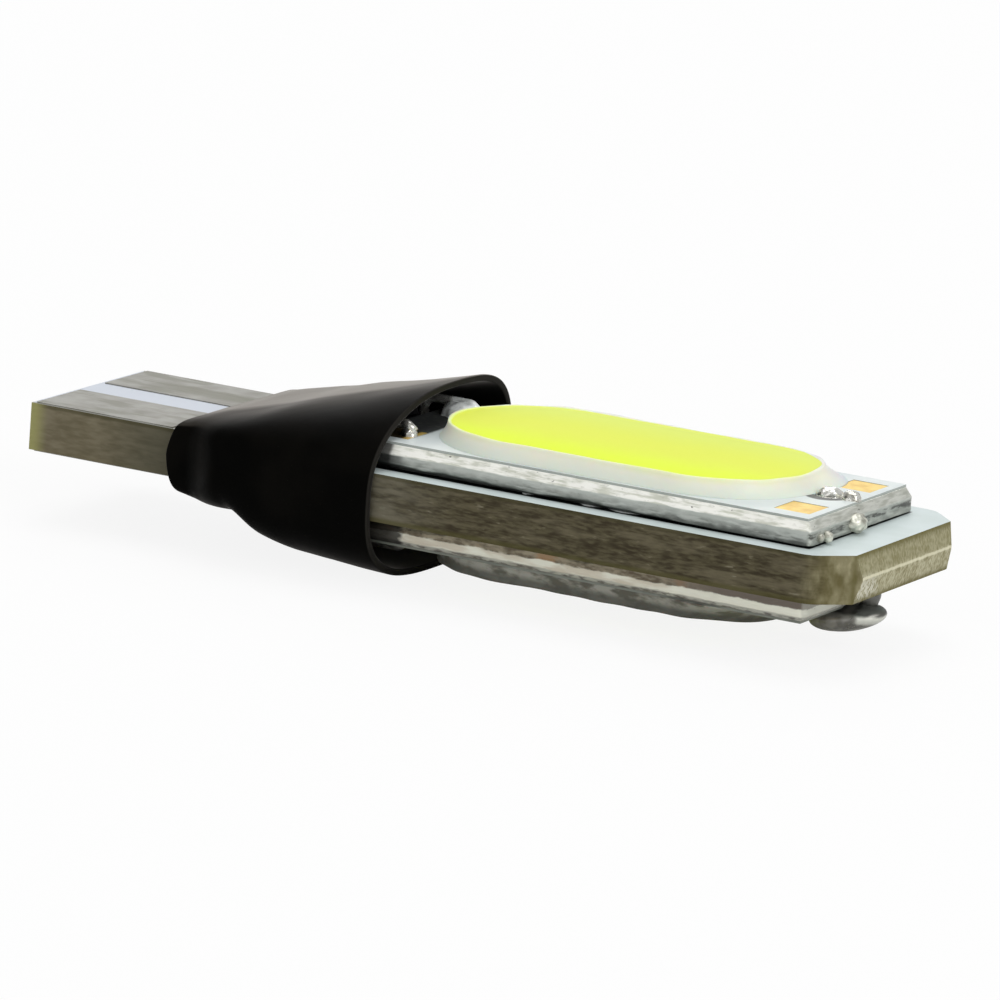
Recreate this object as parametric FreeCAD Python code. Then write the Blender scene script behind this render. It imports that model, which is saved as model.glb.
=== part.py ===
import FreeCAD, Part
import math
import os

# Plug-in wedge-base LED bulb, in millimetres.
# A glass-fibre board runs through the whole bulb. Its bare tail is the wedge that plugs into the lamp
# holder, its wide head carries one aluminium LED plate on each face, and a heat-shrunk sleeve covers the
# driver parts between them.
# The origin is the centre of the tail's end face. +X points to the lit tip, +Y across the board, and
# +Z out of the board's top face.

Vec = FreeCAD.Vector

# Bare tail, the plug of the bulb
PLUG_LEN = 6.8            # tail end to the sleeve
TAIL_W = 9.2
BOARD_T = 2.0             # laminate thickness, the same all over

# Wide head of the board
HEAD_W = 11.4
SHOULDER_COVER = 2.3      # how far inside the sleeve the tail starts to widen
PLATE_TIP_GAP = 2.14      # board left bare between the plates and the tip end
TIP_CHAMFER_X = 1.32      # corner cut at the tip, along the board
TIP_CHAMFER_Y = 1.35      # corner cut at the tip, across the board
TIP_RIDGE_OUT = 0.25      # how far the snapped web stands out of the scored tip end
TIP_RIDGE_LAND = 0.12     # thickness of the snapped web
TIP_CORNER_R = 1.0        # routed round, between the sides and the cut corners

# Tinned contact pads on the tail
CONTACT_T = 0.05
CONTACT_GAP = 2.0         # bare strip between the near pad and the far pad
CONTACT_W = 3.5
CONTACT_END_MARGIN = 0.2  # laminate left bare at the tail's end
CONTACT_CLEAR = 0.02      # between the pads and the sleeve

# Aluminium LED plates, one on each face
PLATE_LEN = 20.8
PLATE_W = 9.0
PLATE_T = 1.0
SCORE_OUT = 0.28          # how far the torn web stands out under the plate's bevelled edges
SCORE_DEPTH = 0.38        # how deep the score is cut from the lit face
ADHESIVE_T = 0.05
ADHESIVE_INSET = 0.40     # shadow gap between the plate's edge and its adhesive
LAYER_T = 0.10            # insulation, copper and white mask on the aluminium
LAYER_INSET = 0.03

# Gold-plated pads, set in windows of the mask at the plate's four corners
GOLD_LEN = 1.6
GOLD_W = 1.8
GOLD_T = 0.03
GOLD_END_MARGIN = 0.41
GOLD_SIDE_MARGIN = 0.85
WINDOW_DEPTH = 0.05

# Silicone dam and phosphor filling, both with half-round ends
DAM_END_MARGIN = 2.2      # plate left outside the dam's foot, at each end
DAM_SIDE_MARGIN = 0.20
DAM_H = 0.77
DAM_BEAD_R = 0.20         # radius of the bead's rounded crest
DAM_FOOT = 0.06           # how far the outer foot spreads
FILL_BELOW_CREST = 0.03   # phosphor edge under the dam's crest
FILL_DOME = 0.17          # rise of the filling from its edge to its middle

# LED chips under the phosphor
CHIP_LEN = 0.9
CHIP_W = 0.5
CHIP_T = 0.15
CHIP_COLUMNS = 6
CHIP_ROWS = 2
CHIP_END_ROOM = 2.45      # from the dam's foot to the middle of the first column
CHIP_PITCH_Y = 2.6

# Heat-shrunk sleeve: its bore lies over what it covers, with these rooms
SLEEVE_WALL = 0.30
SLEEVE_OVER_PLATE = 1.71  # how far the mouth reaches over the plates
GRIP_ROOM = 0.14          # round the tail
TAIL_SAG = 0.60           # under the tail, where the sleeve hangs free
SHOULDER_ROOM = 0.29      # beside the board's shoulder
HEAD_ROOM = 0.17          # beside the head's edges, at the mouth
WIDEN_BEFORE = 1.4        # the sleeve widens this far ahead of the shoulder
WIDEN_END = 0.3           # and is wide this far before the shoulder ends
LOAD_ROOM = 0.24          # over the load resistors' tail-side edge
DIODE_ROOM = 0.32         # over the diodes' tail-side ends
DIODE_FAR_ROOM = 0.93     # over the diodes' tip-side ends
DRIVER_ROOM = 0.05        # under the driver chip's tail-side leads
DRIVER_MID_ROOM = 0.17    # under the driver chip's middle
BELLY_EDGE_ROOM = 0.14    # under the inductor's tail-side edge
BELLY_ROOM = 0.32         # under the inductor's middle
MOUTH_ROOM = 0.73         # over the dams' crests, at the mouth
MOUTH_LEAN = 0.8          # the mouth's crest leans to the far side
TAIL_POWER = 12.0         # squareness of the section at the tail, nearly a box
MOUTH_POWER = 2.9         # squareness at the mouth, an oval
MOUTH_NEAR_POWER = 2.3    # the same in its near upper quarter, which is cut rounder
POWER_EASE = 0.8          # how early the upper half rounds off
TAIL_LOW_POWER = 5.2      # squareness of the section's lower half, at the tail
DRIVER_POWER = 3.9        # round the driver chip's tail-side leads
SHOULDER_POWER = 2.85     # where the board's shoulder ends
BELLY_POWER = 2.4         # round the inductor's middle
RIM_BEVEL = 0.10
SECTION_POINTS = 36       # points round each section of the sleeve
SECTION_COUNT = 17        # sections along it

# Leads from the gold pads at the mouth down to the board
LEAD_R = 0.20
LEAD_RISE = 0.42          # height of the lead's axis over the mask
LEAD_SLANT = 0.35         # the soldered end slants up over this length
LEAD_SLANT_R = 0.30
LEAD_BEND_R = 0.45
LEAD_SUNK = 0.9           # height of the soldered end over its pad, in lead radii
LEAD_CLEAR = 0.25         # between the falling lead and the plate's scored end

# Solder at the mouth and at the tip
JOINT_R = 0.85            # big joint on the far pad at the mouth
JOINT_H = 0.62
SMALL_JOINT_R = 0.42
SMALL_JOINT_H = 0.34
DROP_WINDOW_R = 0.74      # round window in the mask, between the dam and the tip end
DROP_WINDOW_ROOM = 0.02   # between that window and the dam's foot
DROP_Y = 0.35
DROP_R = 0.66             # solder in the round window
DROP_H = 0.39
BRIDGE_R = 0.50           # second drop, at the plate's tip edge
BRIDGE_H = 0.42
BRIDGE_FROM_END = 0.42
END_DROP_R = 0.58         # third drop, between the plate's end and the board
END_DROP_Y = -0.20
END_DROP_OUT = 0.06       # middles of this drop and of the lump, past the plate's torn end
END_DROP_SUNK = 0.5       # height of its middle over the board, in its radii
LUMP_R = 0.27             # small lump near the plate's corner
LUMP_FROM_SIDE = 1.1
LUMP_SUNK = 0.6
BLOB_LEN = 3.5            # big flat blob below the tip
BLOB_W = 2.3
BLOB_H = 1.2
BLOB_FROM_END = 0.06      # its middle, before the plate's end
BLOB_UNDER_MASK = 0.47    # its middle, under the plate's mask
BLOB_TILT = 13.0          # degrees, its outer end nearer to the board
NECK_R = 0.50             # its neck, which wets the board
NECK_H = 1.5
NECK_Y = 0.10
NECK_SUNK = 0.70          # height of the neck's middle over the board, in half heights

# Driver parts on both faces of the board, inside the sleeve
SLEEVE_COVER = 0.78       # sleeve's start to the first part
PART_GAP = 0.20           # room between neighbours
INDUCTOR_W = 3.6
INDUCTOR_H = 2.1
INDUCTOR_FOOT_T = 0.45
INDUCTOR_CORNER = 0.60
WAIST_R = 0.85
WINDING_R = 1.48
FLANGE_R = 1.71
FLANGE_T = 0.40
INDUCTOR_PLATE_GAP = 0.10
DIODE_LEN = 2.6           # over the leads
DIODE_BODY_LEN = 1.9
DIODE_W = 1.5
DIODE_H = 0.92
DIODE_GAP = 0.5           # between the rectifier diodes
DIODE_COUNT = 4
DIODE_LEAD_W = 0.9
LOAD_LEN = 3.2
LOAD_W = 1.6
LOAD_T = 0.48
LOAD_GAP = 0.6            # between the two load resistors' ends
CAPACITOR_T = 1.0
SIDE_GAP = 0.65           # between the inductor and the parts beside it
DRIVER_LEN = 2.9          # driver chip, along its rows of leads
DRIVER_W = 1.6
DRIVER_SPAN = 2.6         # over the leads
DRIVER_H = 0.95
DRIVER_LEAD_W = 0.4
SENSE_LEN = 1.6
SENSE_W = 0.8
SENSE_T = 0.40
SENSE_GAP = 0.8
LEAD_FRAME_T = 0.12       # metal of the small parts' leads
LEAD_ROOT = 0.10          # how far a lead's root goes into its black body
STAND_OFF = 0.06          # between a black body and the board
TERMINAL_LEN = 0.45       # plated ends of resistors and capacitor
TERMINAL_T = 0.03         # plating over the ceramic
BODY_DRAFT = 0.12         # mould draft of the black bodies, each side

# Heights over the board's middle
FACE_Z = BOARD_T / 2
PLATE_Z = FACE_Z + ADHESIVE_T
LAYER_Z = PLATE_Z + PLATE_T
MASK_Z = LAYER_Z + LAYER_T
WINDOW_Z = MASK_Z - WINDOW_DEPTH
GOLD_Z = WINDOW_Z + GOLD_T
CREST_Z = MASK_Z + DAM_H
FILL_EDGE_Z = CREST_Z - FILL_BELOW_CREST

# Stations along the board, from the tail's end to the tip
SENSE_X = PLUG_LEN + SLEEVE_COVER + SENSE_W / 2
DRIVER_X = SENSE_X + SENSE_W / 2 + PART_GAP + DRIVER_SPAN / 2
INDUCTOR_X = DRIVER_X + DRIVER_SPAN / 2 + PART_GAP + INDUCTOR_W / 2
PLATE_MOUTH_X = INDUCTOR_X + INDUCTOR_W / 2 + INDUCTOR_PLATE_GAP + SCORE_OUT
PLATE_TIP_X = PLATE_MOUTH_X + PLATE_LEN
PLATE_MID_X = (PLATE_TIP_X + PLATE_MOUTH_X) / 2
BOARD_LEN = PLATE_TIP_X + PLATE_TIP_GAP
SHOULDER_X = PLUG_LEN + SHOULDER_COVER
SHOULDER_END = SHOULDER_X + (HEAD_W - TAIL_W) / 2
MOUTH_X = PLATE_MOUTH_X + SLEEVE_OVER_PLATE
LEAD_X = PLATE_MOUTH_X - SCORE_OUT - LEAD_CLEAR - LEAD_R
BY_LEAD_X = LEAD_X - LEAD_R - PART_GAP
DIODE_X = BY_LEAD_X - DIODE_LEN / 2
LOAD_X = DIODE_X - DIODE_LEN / 2 - PART_GAP - LOAD_W / 2
CONTACT_END_X = PLUG_LEN - CONTACT_CLEAR

# Widths and places across the board
DAM_LEN = PLATE_LEN - 2 * DAM_END_MARGIN
DAM_W = PLATE_W - 2 * DAM_SIDE_MARGIN
CREST_HALF = DAM_W / 2 - DAM_FOOT - DAM_BEAD_R
END_LEFT_X = PLATE_MID_X - (DAM_LEN - DAM_W) / 2
END_RIGHT_X = PLATE_MID_X + (DAM_LEN - DAM_W) / 2
GOLD_REACH_X = PLATE_LEN / 2 - GOLD_END_MARGIN - GOLD_LEN / 2
GOLD_REACH_Y = PLATE_W / 2 - GOLD_SIDE_MARGIN - GOLD_W / 2
DROP_X = PLATE_TIP_X - DAM_END_MARGIN + DROP_WINDOW_ROOM + DROP_WINDOW_R
SIDE_PART_Y = INDUCTOR_W / 2 + SIDE_GAP + LOAD_W / 2


def block(x, y, length, width, low, high):
    """Upright box centred on x and y, from one height to another."""
    corner = Vec(x - length / 2, y - width / 2, low)
    return Part.makeBox(length, width, high - low, corner)


def prism(points, direction):
    """Closed outline of straight edges, extruded."""
    outline = Part.makePolygon(points + [points[0]])
    return Part.Face(outline).extrude(direction)


def drop(x, y, z, along, across, height):
    """Ball stretched to three half-sizes, the form of a frozen drop of solder."""
    stretch = FreeCAD.Matrix()
    stretch.scale(along, across, height)
    ball = Part.makeSphere(1.0).transformGeometry(stretch)
    ball.translate(Vec(x, y, z))
    return ball


def dome(x, y, radius, height, level):
    """Upper half of a drop that wets a flat pad."""
    ball = drop(x, y, level, radius, radius, height)
    return ball.common(block(x, y, 4 * radius, 4 * radius, level, level + 2 * height))


def flipped(shape):
    """The same piece on the board's other face: turned half round about the board's long axis."""
    other = shape.copy()
    other.rotate(Vec(0, 0, 0), Vec(1, 0, 0), 180)
    return other


def upright_edge(solid, x, y):
    """The solid's edge that stands nearest to x and y."""
    upright = [edge for edge in solid.Edges if edge.BoundBox.ZLength > BOARD_T / 2]
    return min(upright, key=lambda edge: math.hypot(edge.CenterOfMass.x - x, edge.CenterOfMass.y - y))


def core_board():
    """Routed outline with cut tip corners; the tip end is scored from both faces and snapped."""
    tail = TAIL_W / 2
    head = HEAD_W / 2
    reach = BOARD_LEN + TIP_RIDGE_OUT
    cut_y = head - TIP_CHAMFER_Y
    edge = [
        (0, tail), (SHOULDER_X, tail), (SHOULDER_END, head), (BOARD_LEN - TIP_CHAMFER_X, head),
        (BOARD_LEN, cut_y), (reach, cut_y - TIP_RIDGE_OUT),
    ]
    far = [Vec(x, y, -FACE_Z) for x, y in edge]
    near = [Vec(x, -y, -FACE_Z) for x, y in reversed(edge)]
    plan = prism(far + near, Vec(0, 0, BOARD_T))
    plan = plan.makeFillet(TIP_CORNER_R, [upright_edge(plan, edge[3][0], y) for y in (-head, head)])
    land = TIP_RIDGE_LAND / 2
    side = [
        Vec(0, -head, -FACE_Z), Vec(BOARD_LEN, -head, -FACE_Z), Vec(reach, -head, -land),
        Vec(reach, -head, land), Vec(BOARD_LEN, -head, FACE_Z), Vec(0, -head, FACE_Z),
    ]
    return plan.common(prism(side, Vec(0, HEAD_W, 0)))


def contact_pad(side):
    """Tinned copper strip on the tail's top face, on the near (-1) or far (+1) side."""
    length = CONTACT_END_X - CONTACT_END_MARGIN
    x = CONTACT_END_MARGIN + length / 2
    y = side * (CONTACT_GAP + CONTACT_W) / 2
    return block(x, y, length, CONTACT_W, FACE_Z, FACE_Z + CONTACT_T)


def scored_profile(half):
    """Edge outline of a plate that was scored from its lit face and snapped, seen on its section."""
    reach = half + SCORE_OUT
    right = [(reach, PLATE_Z), (reach, LAYER_Z - SCORE_DEPTH), (half, LAYER_Z)]
    return right + [(-u, z) for u, z in reversed(right)]


def led_plate():
    """Aluminium plate whose four edges all have the scored form, mitred at the corners."""
    long_half = PLATE_LEN / 2
    wide_half = PLATE_W / 2
    reach_x = long_half + SCORE_OUT
    reach_y = wide_half + SCORE_OUT
    along = [Vec(PLATE_MID_X - reach_x, y, z) for y, z in scored_profile(wide_half)]
    across = [Vec(PLATE_MID_X + x, -reach_y, z) for x, z in scored_profile(long_half)]
    bar = prism(along, Vec(2 * reach_x, 0, 0))
    return bar.common(prism(across, Vec(0, 2 * reach_y, 0)))


def gold_places():
    """Middles of the four gold pads: the two at the mouth first, near side before far side."""
    return [(PLATE_MID_X + i * GOLD_REACH_X, j * GOLD_REACH_Y) for i in (-1, 1) for j in (-1, 1)]


def circuit_layer():
    """Thin laminate on the plate, with shallow windows over the gold pads and the round solder pad."""
    length = PLATE_LEN - 2 * LAYER_INSET
    width = PLATE_W - 2 * LAYER_INSET
    layer = block(PLATE_MID_X, 0, length, width, LAYER_Z, MASK_Z)
    for x, y in gold_places():
        layer = layer.cut(block(x, y, GOLD_LEN, GOLD_W, WINDOW_Z, MASK_Z))
    return layer.cut(Part.makeCylinder(DROP_WINDOW_R, WINDOW_DEPTH, Vec(DROP_X, DROP_Y, WINDOW_Z)))


def gold_pads():
    """Plated copper at the bottom of the mask's windows."""
    return [block(x, y, GOLD_LEN, GOLD_W, WINDOW_Z, GOLD_Z) for x, y in gold_places()]


def racetrack(section):
    """Solid with two straights and half-round ends, from a function that gives its section face at a
    station, on the far (1) or near (-1) side."""
    run = Vec(END_RIGHT_X - END_LEFT_X, 0, 0)
    up = Vec(0, 0, 1)
    pieces = [
        section(END_LEFT_X, -1).extrude(run),
        section(END_LEFT_X, 1).revolve(Vec(END_LEFT_X, 0, 0), up, 180),
        section(END_RIGHT_X, -1).revolve(Vec(END_RIGHT_X, 0, 0), up, 180),
    ]
    return section(END_LEFT_X, 1).extrude(run).fuse(pieces).removeSplitter()


def bead_section(x, side):
    """Section of the dam's bead: flat foot, rounded crest, spread outer foot."""
    spring = CREST_Z - DAM_BEAD_R
    foot_out = Vec(x, side * DAM_W / 2, MASK_Z)
    top_out = Vec(x, side * (CREST_HALF + DAM_BEAD_R), spring)
    top = Vec(x, side * CREST_HALF, CREST_Z)
    top_in = Vec(x, side * (CREST_HALF - DAM_BEAD_R), spring)
    foot_in = Vec(x, side * (CREST_HALF - DAM_BEAD_R), MASK_Z)
    edges = [
        Part.LineSegment(foot_out, top_out).toShape(),
        Part.Arc(top_out, top, top_in).toShape(),
        Part.LineSegment(top_in, foot_in).toShape(),
        Part.LineSegment(foot_in, foot_out).toShape(),
    ]
    return Part.Face(Part.Wire(edges))


def fill_section(x, side):
    """Half section of the filling: flat floor, upright edge that meets the inner slope of the bead's
    crest, and a shallow dome."""
    rise = FILL_EDGE_Z - (CREST_Z - DAM_BEAD_R)
    half = CREST_HALF - math.sqrt(DAM_BEAD_R ** 2 - rise ** 2)
    radius = (half ** 2 + FILL_DOME ** 2) / (2 * FILL_DOME)
    top_z = FILL_EDGE_Z + FILL_DOME
    half_way_z = top_z - radius + math.sqrt(radius ** 2 - half ** 2 / 4)
    middle = Vec(x, 0, MASK_Z)
    foot = Vec(x, side * half, MASK_Z)
    edge = Vec(x, side * half, FILL_EDGE_Z)
    top = Vec(x, 0, top_z)
    edges = [
        Part.LineSegment(middle, foot).toShape(),
        Part.LineSegment(foot, edge).toShape(),
        Part.Arc(edge, Vec(x, side * half / 2, half_way_z), top).toShape(),
        Part.LineSegment(top, middle).toShape(),
    ]
    return Part.Face(Part.Wire(edges))


def phosphor(ring, chips):
    """Silicone gel that fills the dam and covers the chips."""
    return racetrack(fill_section).cut([ring] + chips)


def led_chips():
    """Rows of bare chips on the circuit layer."""
    pitch_x = (DAM_LEN - 2 * CHIP_END_ROOM) / (CHIP_COLUMNS - 1)
    chips = []
    for column in range(CHIP_COLUMNS):
        for row in range(CHIP_ROWS):
            x = PLATE_MID_X + (column - (CHIP_COLUMNS - 1) / 2) * pitch_x
            y = (row - (CHIP_ROWS - 1) / 2) * CHIP_PITCH_Y
            chips.append(block(x, y, CHIP_LEN, CHIP_W, MASK_Z, MASK_Z + CHIP_T))
    return chips


def adhesive():
    """Bed of heat-conducting glue, held back from the plate's edge."""
    length = PLATE_LEN - 2 * ADHESIVE_INSET
    width = PLATE_W - 2 * ADHESIVE_INSET
    return block(PLATE_MID_X, 0, length, width, FACE_Z, PLATE_Z)


def smooth(t):
    """Ease from 0 to 1 with level ends."""
    t = min(1.0, max(0.0, t))
    return t * t * (3 - 2 * t)


def over_stations(stations, x):
    """Value at x of a curve through the stations (x, value) that never swings past them: between two
    stations a cubic whose end slopes are the harmonic mean of the slopes on both sides."""
    count = len(stations)
    slopes = []
    for (x0, v0), (x1, v1) in zip(stations, stations[1:]):
        slopes.append((v1 - v0) / (x1 - x0))
    ends = [slopes[0]]
    for before, after in zip(slopes, slopes[1:]):
        ends.append(2 * before * after / (before + after) if before * after > 0 else 0.0)
    ends.append(slopes[-1])
    if x <= stations[0][0]:
        return stations[0][1]
    for i in range(count - 1):
        (x0, v0), (x1, v1) = stations[i], stations[i + 1]
        if x <= x1:
            span = x1 - x0
            t = (x - x0) / span
            bend = t * (1 - t) * span
            return v0 + (v1 - v0) * smooth(t) + bend * ((1 - t) * ends[i] - t * ends[i + 1])
    return stations[-1][1]


def along_sleeve(x):
    """How far x is along the sleeve: 0 at its tail end and before, 1 at its mouth and past it."""
    return min(1.0, max(0.0, (x - PLUG_LEN) / (MOUTH_X - PLUG_LEN)))


def bore_top(x):
    """Height of the sleeve's bore over the parts on the top face."""
    diode_half = DIODE_LEN / 2
    return over_stations([
        (PLUG_LEN, FACE_Z + GRIP_ROOM),
        (LOAD_X - LOAD_W / 2, FACE_Z + LOAD_T + LOAD_ROOM),
        (DIODE_X - diode_half, FACE_Z + DIODE_H + DIODE_ROOM),
        (DIODE_X + diode_half, FACE_Z + DIODE_H + DIODE_FAR_ROOM),
        (MOUTH_X, CREST_Z + MOUTH_ROOM),
    ], x)


def bore_depth(x):
    """Depth of the sleeve's bore under the parts on the bottom face."""
    return over_stations([
        (PLUG_LEN, FACE_Z + TAIL_SAG),
        (DRIVER_X - DRIVER_SPAN / 2, FACE_Z + DRIVER_H + DRIVER_ROOM),
        (DRIVER_X, FACE_Z + DRIVER_H + DRIVER_MID_ROOM),
        (INDUCTOR_X - INDUCTOR_W / 2, FACE_Z + INDUCTOR_H + BELLY_EDGE_ROOM),
        (INDUCTOR_X, FACE_Z + INDUCTOR_H + BELLY_ROOM),
        (MOUTH_X, CREST_Z + MOUTH_ROOM),
    ], x)


def bore_half_width(x):
    """Half width of the sleeve's bore, widest round the board's shoulder."""
    tail_half = TAIL_W / 2 + GRIP_ROOM
    return over_stations([
        (PLUG_LEN, tail_half),
        (SHOULDER_X - WIDEN_BEFORE, tail_half),
        (SHOULDER_END - WIDEN_END, HEAD_W / 2 + SHOULDER_ROOM),
        (MOUTH_X, HEAD_W / 2 + HEAD_ROOM),
    ], x)


def upper_power(near, x):
    """Squareness of the section's upper half, from a box at the tail to an oval at the mouth."""
    t = along_sleeve(x)
    mouth_power = MOUTH_POWER
    if near:
        mouth_power += (MOUTH_NEAR_POWER - MOUTH_POWER) * smooth(t)
    return 1 / (1 / TAIL_POWER + (1 / mouth_power - 1 / TAIL_POWER) * t ** POWER_EASE)


def lower_power(x):
    """Squareness of the section's lower half, roundest under the inductor."""
    return over_stations([
        (PLUG_LEN, TAIL_LOW_POWER),
        (DRIVER_X - DRIVER_SPAN / 2, DRIVER_POWER),
        (SHOULDER_END, SHOULDER_POWER),
        (INDUCTOR_X, BELLY_POWER),
        (MOUTH_X, MOUTH_POWER),
    ], x)


def sleeve_section(x, grow):
    """Closed cross-section of the sleeve at one station, sampled at even angles. It goes from a box with
    round corners at the tail to an oval at the mouth: a super-ellipse whose powers, width, top and depth
    all follow x. All the sections share one even spacing of knots, so the skin through them is smooth."""
    half = bore_half_width(x) + grow
    top = bore_top(x) + grow
    depth = bore_depth(x) + grow
    lean = MOUTH_LEAN * smooth(along_sleeve(x))
    points = []
    for i in range(SECTION_POINTS):
        angle = 2 * math.pi * i / SECTION_POINTS
        across = math.cos(angle)
        upward = math.sin(angle)
        power = upper_power(across < 0, x) if upward > 0 else lower_power(x)
        reach = (abs(across) ** power + abs(upward) ** power) ** (-1 / power)
        y = half * across * reach + lean * max(0.0, upward * reach) ** 3
        z = upward * reach * (top if upward > 0 else depth)
        points.append(Vec(x, y, z))
    knots = [float(i) for i in range(SECTION_POINTS + 1)]
    curve = Part.BSplineCurve()
    curve.interpolate(Points=points, PeriodicFlag=True, Parameters=knots)
    return Part.Wire(curve.toShape())


def sleeve_skin(start, end, grow):
    """Smooth solid inside one of the sleeve's two surfaces, between two stations."""
    step = (end - start) / (SECTION_COUNT - 1)
    sections = [sleeve_section(start + i * step, grow) for i in range(SECTION_COUNT)]
    return Part.makeLoft(sections, True, False)


def sleeve_lip(end, inward):
    """Bevelled lip of the sleeve's outer surface, from a cut end inwards."""
    outside = sleeve_section(end, SLEEVE_WALL - RIM_BEVEL)
    full = sleeve_section(end + inward * RIM_BEVEL, SLEEVE_WALL)
    return Part.makeLoft([outside, full], True, True)


def heat_shrink_sleeve():
    """Tube of heat-shrunk plastic, gripping the tail and open at the mouth."""
    outer = sleeve_skin(PLUG_LEN + RIM_BEVEL, MOUTH_X - RIM_BEVEL, SLEEVE_WALL)
    outer = outer.fuse([sleeve_lip(PLUG_LEN, 1), sleeve_lip(MOUTH_X, -1)])
    past_ends = SLEEVE_WALL
    inner = sleeve_skin(PLUG_LEN - past_ends, MOUTH_X + past_ends, 0.0)
    return outer.cut(inner)


def lead(side):
    """Tinned lead: soldered on a gold pad, raised over the plate's end, turned down to the board."""
    pad_end_x = PLATE_MID_X - GOLD_REACH_X + GOLD_LEN / 2 - LEAD_R
    y = side * GOLD_REACH_Y
    level = MASK_Z + LEAD_RISE
    start = Vec(pad_end_x, y, GOLD_Z + LEAD_SUNK * LEAD_R)
    slant_end = Vec(pad_end_x - LEAD_SLANT, y, level)
    corner = Vec(LEAD_X, y, level)
    end = Vec(LEAD_X, y, FACE_Z)
    path = bent_path([start, slant_end, corner, end], [LEAD_SLANT_R, LEAD_BEND_R])
    direction = slant_end.sub(start).normalize()
    round_section = Part.Wire(Part.makeCircle(LEAD_R, start, direction))
    return Part.Wire(path).makePipeShell([round_section], True, False)


def bent_path(points, radii):
    """Straight runs joined by tangent arcs."""
    edges = []
    here = points[0]
    for i, radius in enumerate(radii):
        corner = points[i + 1]
        into = corner.sub(points[i]).normalize()
        away = points[i + 2].sub(corner).normalize()
        turn = into.getAngle(away)
        cut = radius * math.tan(turn / 2)
        first = corner.sub(into * cut)
        last = corner.add(away * cut)
        bisector = away.sub(into).normalize()
        centre = corner.add(bisector * (radius / math.cos(turn / 2)))
        middle = centre.sub(bisector * radius)
        edges.append(Part.LineSegment(here, first).toShape())
        edges.append(Part.Arc(first, middle, last).toShape())
        here = last
    edges.append(Part.LineSegment(here, points[-1]).toShape())
    return edges


def mouth_joints(leads, pads, layer):
    """Solder on the two gold pads at the mouth: a big dome on one, a small one on the other."""
    near, far = gold_places()[:2]
    small_x = near[0] + GOLD_LEN / 2 - SMALL_JOINT_R
    small = dome(small_x, near[1], SMALL_JOINT_R, SMALL_JOINT_H, GOLD_Z)
    big = dome(far[0], far[1], JOINT_R, JOINT_H, GOLD_Z)
    return [joint.cut(leads + pads + [layer]) for joint in (big, small)]


def tip_joint_top(plate, layer, board):
    """Drops of solder at the tip: in the round window, at the plate's edge, and down on the board."""
    in_window = dome(DROP_X, DROP_Y, DROP_R, DROP_H, WINDOW_Z)
    on_edge = dome(PLATE_TIP_X - BRIDGE_FROM_END, DROP_Y, BRIDGE_R, BRIDGE_H, MASK_Z)
    end_x = PLATE_TIP_X + SCORE_OUT + END_DROP_OUT
    drop_z = FACE_Z + END_DROP_SUNK * END_DROP_R
    on_board = drop(end_x, END_DROP_Y, drop_z, END_DROP_R, END_DROP_R, END_DROP_R)
    lump_y = LUMP_FROM_SIDE - PLATE_W / 2
    lump = drop(end_x, lump_y, FACE_Z + LUMP_SUNK * LUMP_R, LUMP_R, LUMP_R, LUMP_R)
    drops = [in_window.fuse(on_edge), on_board, lump]
    return [piece.cut([plate, layer, board]) for piece in drops]


def tip_joint_bottom(plate, layer, board):
    """One big flat blob that hangs under the tip, and a neck that joins it to the board."""
    blob = drop(0, 0, 0, BLOB_LEN / 2, BLOB_W / 2, BLOB_H / 2)
    blob.rotate(Vec(0, 0, 0), Vec(0, 1, 0), -BLOB_TILT)
    blob.translate(Vec(PLATE_TIP_X - BLOB_FROM_END, 0, -MASK_Z - BLOB_UNDER_MASK))
    neck_x = PLATE_TIP_X + SCORE_OUT + NECK_R
    neck_z = -(FACE_Z + NECK_SUNK * NECK_H / 2)
    neck = drop(neck_x, NECK_Y, neck_z, NECK_R, NECK_R, NECK_H / 2)
    return blob.fuse(neck).cut([plate, layer, board])


def resistor(x, y, along_x, length, width, thickness):
    """Chip resistor or capacitor: ceramic block with plated ends that wrap it, flat on the board."""
    sizes = (length, width) if along_x else (width, length)
    body = block(x, y, sizes[0], sizes[1], FACE_Z + TERMINAL_T, FACE_Z + thickness - TERMINAL_T)
    reach = (length - TERMINAL_LEN) / 2
    parts = []
    for end in (-1, 1):
        if along_x:
            cap = block(x + end * reach, y, TERMINAL_LEN, width, FACE_Z, FACE_Z + thickness)
        else:
            cap = block(x, y + end * reach, width, TERMINAL_LEN, FACE_Z, FACE_Z + thickness)
        parts.append(cap)
    return body.fuse(parts)


def moulded_body(x, y, length, width, low, high):
    """Black moulded body, widest at mid height, with draft to both faces."""
    middle = (low + high) / 2

    def layer(z, inset):
        a = length / 2 - inset
        b = width / 2 - inset
        corners = [Vec(x - a, y - b, z), Vec(x + a, y - b, z), Vec(x + a, y + b, z), Vec(x - a, y + b, z)]
        return Part.makePolygon(corners + [corners[0]])

    lower = Part.makeLoft([layer(low, BODY_DRAFT), layer(middle, 0)], True, True)
    upper = Part.makeLoft([layer(middle, 0), layer(high, BODY_DRAFT)], True, True)
    return lower.fuse(upper)


def gull_lead(x, y, sign, tip, root, width, mid):
    """Bent metal lead along X: flat foot on the board, riser, and a root inside the black body. tip and
    root are distances from the middle of the body at (x, y); mid is the height of the root."""
    t = LEAD_FRAME_T
    knee = (tip + root) / 2
    outline = [
        (tip, FACE_Z), (knee - t / 2, FACE_Z), (knee - t / 2, mid - t / 2), (root, mid - t / 2),
        (root, mid + t / 2), (knee + t / 2, mid + t / 2), (knee + t / 2, FACE_Z + t), (tip, FACE_Z + t),
    ]
    points = [Vec(x + sign * u, y - width / 2, z) for u, z in outline]
    return prism(points, Vec(0, width, 0))


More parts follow.
